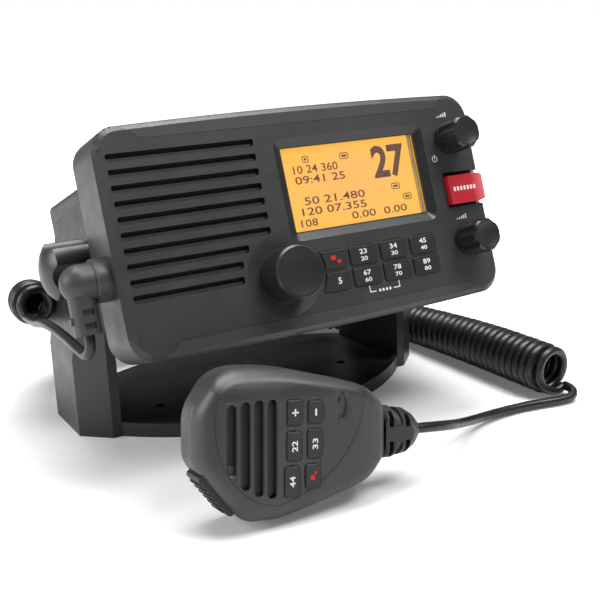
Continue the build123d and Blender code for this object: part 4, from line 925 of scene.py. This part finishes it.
# %% Painted shade along the ledges and in the open ends of the slots
SLOT_TOP, SLOT_STEP, SLOT_FOOT = 38.0, 6.92, 3.6
SLOT_LEFT = -96.5
SLOT_RIGHTS = [-25.9] * 7 + [-38.7, -43.0, -44.0]
LEDGE_DEPTH = 1.6
ledge_shade_bars = []
for i, right in enumerate(SLOT_RIGHTS):
    foot = SLOT_TOP - i * SLOT_STEP - SLOT_FOOT
    # painted shade along the foot of the ledge, then painted shade in the open end
    ledge_shade_bars.append(bar(SLOT_LEFT, foot + 0.05, right - 1.2, foot + 0.42))
    ledge_shade_bars.append(bar(right - 3.4, foot + 0.1, right - 0.15, foot + 1.75))
ledge_shade_bars = joined(ledge_shade_bars)
ledge_shade_bars.name = "slot_ledge_shade"
ledge_shade_bars.data.transform(Matrix.Translation((0, 0, (FACE_N - LEDGE_DEPTH + PRINT_LIFT) * MM)))
carry(ledge_shade_bars, RADIO_BENCH, "radio", finishes["black_ink_and_shade"])

# %% [markdown]
# ## The red cover
# The cover over the red key is a clear red flap. Its free end is rounded and catches the light.
# The CAD part is a box with a round hinge, so a copy is bisected a few times near that end and
# the new points are drawn in along an ellipse. Seven short white bars stand on it.

# %% Round the end of the red cover
END_FROM, END_TO, COVER_V = 94.0, 103.7, 2.0
END_NARROWING, END_POWER = 0.62, 2.6
ACROSS_U, ACROSS_V = Vector((1, 0, 0)), Vector((0, 1, 0))


def slice_across(axis, places):
    """In edit mode, cuts the whole mesh by planes square to an axis, at places in mm."""
    for at in places:
        bpy.ops.mesh.select_all(action="SELECT")
        bpy.ops.mesh.bisect(plane_co=axis * (at * MM), plane_no=axis)


flap = bench_copy("distress_cover", "distress_flap", RADIO_BENCH)
bpy.ops.object.mode_set(mode="EDIT")
slice_across(ACROSS_U, (94.0, 95.5, 97.0, 98.5, 100.0, 101.0, 102.0, 102.8))
bpy.ops.object.mode_set(mode="OBJECT")
for vertex in flap.data.vertices:
    share = min(max((vertex.co.x / MM - END_FROM) / (END_TO - END_FROM), 0.0), 1.0)
    narrow = math.sqrt(1.0 - END_NARROWING * share**END_POWER)
    vertex.co.y = COVER_V * MM + (vertex.co.y - COVER_V * MM) * narrow
carry(flap, RADIO_BENCH, "distress_cover", finishes["red_cover"])
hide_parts("distress_cover")
bars = [bar(81.2 + i * 2.15, 1.2, 82.6 + i * 2.15, 3.4) for i in range(7)]
printed("distress_bars", bars, 57.2, RADIO_BENCH, "distress_cover", "distress_cover", "white_ink")

# %% [markdown]
# ## The microphone
# The CAD shell has a flat front. The real one is crowned: it falls away towards its top edge and
# its left side, and the two falls meet in a soft crease. A copy of the shell is bisected into
# narrow strips there, and every point in front sinks by a rule of its place. The inner wall sinks
# with it, so that the shell keeps its thickness.


# %% Crown the front shell
TOP_FROM, TOP_FALL = 19.6, 0.036
SIDE_FROM, SIDE_FALL = 11.8, 0.042
RIGHT_FROM, RIGHT_FALL = 72.0, 0.012
LOW_FROM, LOW_FALL = 21.6, 0.020
WALL_FROM, WALL_RUN = 1.0, 9.0
SHELL_CUTS_B = [
    19.8, 21.0, 22.2, 23.5, 25.0, 26.5, 28.0, 29.5,
    -21.8, -24.0, -26.0, -28.0, 15.0, 9.0, 3.0, -3.0, -9.0, -15.0,
]
SHELL_CUTS_A = [
    2.0, 3.5, 5.0, 6.5, 8.0, 9.5, 11.5, 17.0, 23.0, 29.0, 35.0,
    40.0, 46.0, 52.0, 57.0, 61.0, 65.0, 69.0, 72.5, 76.0, 79.5, 83.0,
]


def crown(a, b):
    """How far the microphone's face falls at a place, in mm."""
    top = TOP_FALL * max(b - TOP_FROM, 0.0) ** 2
    side = SIDE_FALL * max(SIDE_FROM - a, 0.0) ** 2
    right = RIGHT_FALL * max(a - RIGHT_FROM, 0.0) ** 2
    low = LOW_FALL * max(-b - LOW_FROM, 0.0) ** 2
    return max(top, side) + right + low


shell = bench_copy("mic_front_shell", "mic_crowned_shell", MIC_BENCH)
bpy.ops.object.mode_set(mode="EDIT")
slice_across(ACROSS_V, SHELL_CUTS_B)
slice_across(ACROSS_U, SHELL_CUTS_A)
bpy.ops.object.mode_set(mode="OBJECT")
for vertex in shell.data.vertices:
    a, b, c = vertex.co / MM
    vertex.co.z -= crown(a, b) * smooth((c - WALL_FROM) / WALL_RUN) * MM
carry(shell, MIC_BENCH, "microphone", finishes["charcoal_plastic"], 40.0)
weigh = shell.modifiers.new("even", "WEIGHTED_NORMAL")
weigh.keep_sharp = True
only(shell)
bpy.ops.object.modifier_apply(modifier="even")
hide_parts("mic_front_shell")
print("crowned shell", len(shell.data.polygons), "faces")

# %% [markdown]
# Dust cloth lies behind the four slots, and each slot has a darker, slightly wider rim.

# %% Cloth and rims of the microphone's slots
CLOTH_N = 11.44
RIM_INNER, RIM_OUTER, RIM_SHORT = 1.72, 2.35, 1.2
cloth = bar(12.4, -22.0, 35.0, 20.6)
cloth.name = "mic_cloth"
cloth.data.transform(Matrix.Translation((0, 0, CLOTH_N * MM)))
carry(cloth, MIC_BENCH, "microphone", finishes["grille_cloth"])
MIC_SLOTS = [(14.3, -10.3, 18.8), (20.3, -16.6, 19.4), (26.2, -19.7, 19.8), (32.1, -21.1, 19.7)]
rims = []
for a, low, high in MIC_SLOTS:
    for left, right in ((a - RIM_OUTER, a - RIM_INNER), (a + RIM_INNER, a + RIM_OUTER)):
        rims.append(bar(left, low + RIM_SHORT, right, high - RIM_SHORT))
rims = joined(rims)
rims.name = "mic_slot_rims"
rims.data.transform(Matrix.Translation((0, 0, (MIC_FACE + PRINT_LIFT) * MM)))
carry(rims, MIC_BENCH, "microphone", finishes["black_ink_and_shade"])

# %% [markdown]
# A fine seam runs over the front in a long oval: the edge of the front panel. It is a NURBS line
# with a very small bevel, laid half into the surface. The leaf-shaped recess at the upper right
# is a disc scaled to an oval, with a rim that stands a little proud. The keys carry a plus, a
# minus and plain numbers.

# %% Seam, recess and marks of the microphone
SEAM_R = 0.17
SEAM = [
    (74.6, 23.2), (75.7, 16.9), (70.4, -0.4), (56.9, -15.3), (40.2, -23.5), (30.6, -24.6),
    (18.7, -18.2), (10.9, -7.7), (7.9, 1.8), (7.2, 12.0), (8.2, 20.0), (10.5, 23.6),
]
seam_points = [Vector((a, b, MIC_FACE - crown(a, b))) * MM for a, b in SEAM]
seam = as_mesh(spline("mic_seam", seam_points, SEAM_R * MM))
carry(seam, MIC_BENCH, "microphone", finishes["black_ink_and_shade"])

bpy.ops.object.select_all(action="DESELECT")
bpy.ops.mesh.primitive_circle_add(vertices=40, radius=1, fill_type="NGON", location=(0, 0, 0))
leaf = bpy.context.object
leaf.name = "leaf_floor"
leaf.scale = (2.5 * MM, 5.9 * MM, 1.0)
leaf.location = (64.0 * MM, 15.4 * MM, 12.56 * MM)
bpy.ops.object.transform_apply(location=True, rotation=True, scale=True)
bpy.ops.object.mode_set(mode="EDIT")
bpy.ops.mesh.select_all(action="SELECT")
bpy.ops.mesh.inset(thickness=0.7 * MM, depth=-0.2 * MM)
bpy.ops.object.mode_set(mode="OBJECT")
carry(leaf, MIC_BENCH, "microphone", finishes["black_ink_and_shade"])

MIC_MARK_N = MIC_FACE + 0.7
MIC_KEYS = [(42.1, 13.8), (51.6, 13.4), (41.9, -0.2), (51.3, 0.2), (40.9, -14.9), (50.4, -13.4)]
for index, (a, b) in enumerate(MIC_KEYS):
    node = "mic_key_%d" % (index + 1)
    ink = "white_ink"
    if index == 0:
        parts = [
            bar(a - 1.5, b - 0.35, a + 1.5, b + 0.35),
            bar(a - 0.35, b - 1.5, a + 0.35, b + 1.5),
        ]
    elif index == 1:
        parts = [bar(a - 0.4, b - 1.5, a + 0.4, b + 1.5)]
    elif index == 5:
        parts = [bar(a - 1.2, b - 1.4, a + 0.6, b + 0.6), bar(a + 0.5, b + 0.7, a + 1.6, b + 2.0)]
        ink = "red_ink"
    else:
        number = text_line(str(11 * index), -2.3, -1.3, 2.3, 2.6, BOLD)
        parts = [turned_mark(number, 90.0, (a, b))]
    printed("mic_mark_%d" % (index + 1), parts, MIC_MARK_N, MIC_BENCH, node, node, ink)
print("microphone dressed")

# %% [markdown]
# ## Light and floor
# The radio stands on a wide flat disc of white paper, under three soft lamps.
# The floor and the world read the ray that meets them: a ray from the camera, or one that a gloss
# or a glass sends on, sees white, and the rest see a quiet grey, so the white never floods the
# object. Near the object the floor is only paper, so its shadows stay; further out it fades to
# white.

# %% Floor, world and lamps
bpy.context.scene.view_settings.view_transform = "Standard"


WORLD_DIM, WORLD_BRIGHT = 0.12, 1.0
WORLD_IN_GLOSS, FLOOR_IN_GLOSS = 0.20, 0.4
FLOOR_RADIUS = 14.0
PAPER = 0.88
FADE_FROM, FADE_TO = 0.10, 0.75
GLOW_NEAR, GLOW_FAR = 0.10, 1.0


def math_node(tree, operation):
    """A node that works one sum."""
    node = tree.nodes.new("ShaderNodeMath")
    node.operation = operation
    return node


def ray_mask(tree, glossy):
    """1 for rays from the camera or through glass, glossy for reflected rays, else 0."""
    path = tree.nodes.new("ShaderNodeLightPath")
    dimmed = math_node(tree, "MULTIPLY")
    dimmed.inputs[1].default_value = glossy
    one = math_node(tree, "MAXIMUM")
    two = math_node(tree, "MAXIMUM")
    tree.links.new(path.outputs["Is Glossy Ray"], dimmed.inputs[0])
    tree.links.new(path.outputs["Is Camera Ray"], one.inputs[0])
    tree.links.new(dimmed.outputs[0], one.inputs[1])
    tree.links.new(one.outputs[0], two.inputs[0])
    tree.links.new(path.outputs["Is Transmission Ray"], two.inputs[1])
    return two.outputs[0]


world = bpy.data.worlds.new("studio")
bpy.context.scene.world = world
world.use_nodes = True
world_tree = world.node_tree
back = world_tree.nodes["Background"]
mix = world_tree.nodes.new("ShaderNodeMix")
mix.data_type = "FLOAT"
mix.inputs["A"].default_value = WORLD_DIM
mix.inputs["B"].default_value = WORLD_BRIGHT
world_tree.links.new(ray_mask(world_tree, WORLD_IN_GLOSS), mix.inputs["Factor"])
world_tree.links.new(mix.outputs["Result"], back.inputs["Strength"])
back.inputs["Color"].default_value = (1, 1, 1, 1)

bpy.ops.object.select_all(action="DESELECT")
bpy.ops.mesh.primitive_circle_add(
    vertices=96, radius=FLOOR_RADIUS, fill_type="NGON", location=(0, 0, 0)
)
floor = bpy.context.object
floor.name = "floor"
paper, paper_tree, paper_shader = new_material("floor_paper")
paper_shader.inputs["Base Color"].default_value = (PAPER, PAPER, PAPER, 1)
paper_shader.inputs["Roughness"].default_value = 0.9
paper_shader.inputs["Specular IOR Level"].default_value = 0.2
paper_shader.inputs["Emission Color"].default_value = (1, 1, 1, 1)
paper_place = paper_tree.nodes.new("ShaderNodeTexCoord")
far = paper_tree.nodes.new("ShaderNodeVectorMath")
far.operation = "LENGTH"
fade = paper_tree.nodes.new("ShaderNodeMapRange")
fade.interpolation_type = "SMOOTHSTEP"
fade.inputs["From Min"].default_value = FADE_FROM
fade.inputs["From Max"].default_value = FADE_TO
fade.inputs["To Min"].default_value = GLOW_NEAR
fade.inputs["To Max"].default_value = GLOW_FAR
glow = math_node(paper_tree, "MULTIPLY")
paper_tree.links.new(paper_place.outputs["Object"], far.inputs[0])
paper_tree.links.new(far.outputs["Value"], fade.inputs["Value"])
paper_tree.links.new(fade.outputs["Result"], glow.inputs[0])
paper_tree.links.new(ray_mask(paper_tree, FLOOR_IN_GLOSS), glow.inputs[1])
paper_tree.links.new(glow.outputs[0], paper_shader.inputs["Emission Strength"])
floor.data.materials.append(paper)


def lamp(name, at, aim, size, watts):
    """A square soft lamp at a place, aimed at another."""
    data = bpy.data.lights.new(name, "AREA")
    data.size = size
    data.energy = watts
    obj = bpy.data.objects.new(name, data)
    bpy.context.scene.collection.objects.link(obj)
    obj.location = at
    obj.rotation_euler = (Vector(aim) - Vector(at)).to_track_quat("-Z", "Y").to_euler()
    return obj


lamps = [
    lamp("key_top", at=(0.1, 0.25, 1.3), aim=(0, 0, 0.05), size=0.9, watts=22.0),
    lamp("side_left", at=(-1.5, 0.35, 0.75), aim=(0, 0, 0.08), size=0.9, watts=17.0),
    lamp("fill_right", at=(0.42, -0.48, 1.1), aim=(0, 0, 0.12), size=0.5, watts=10.0),
]
print("floor, world and", len(lamps), "lamps")
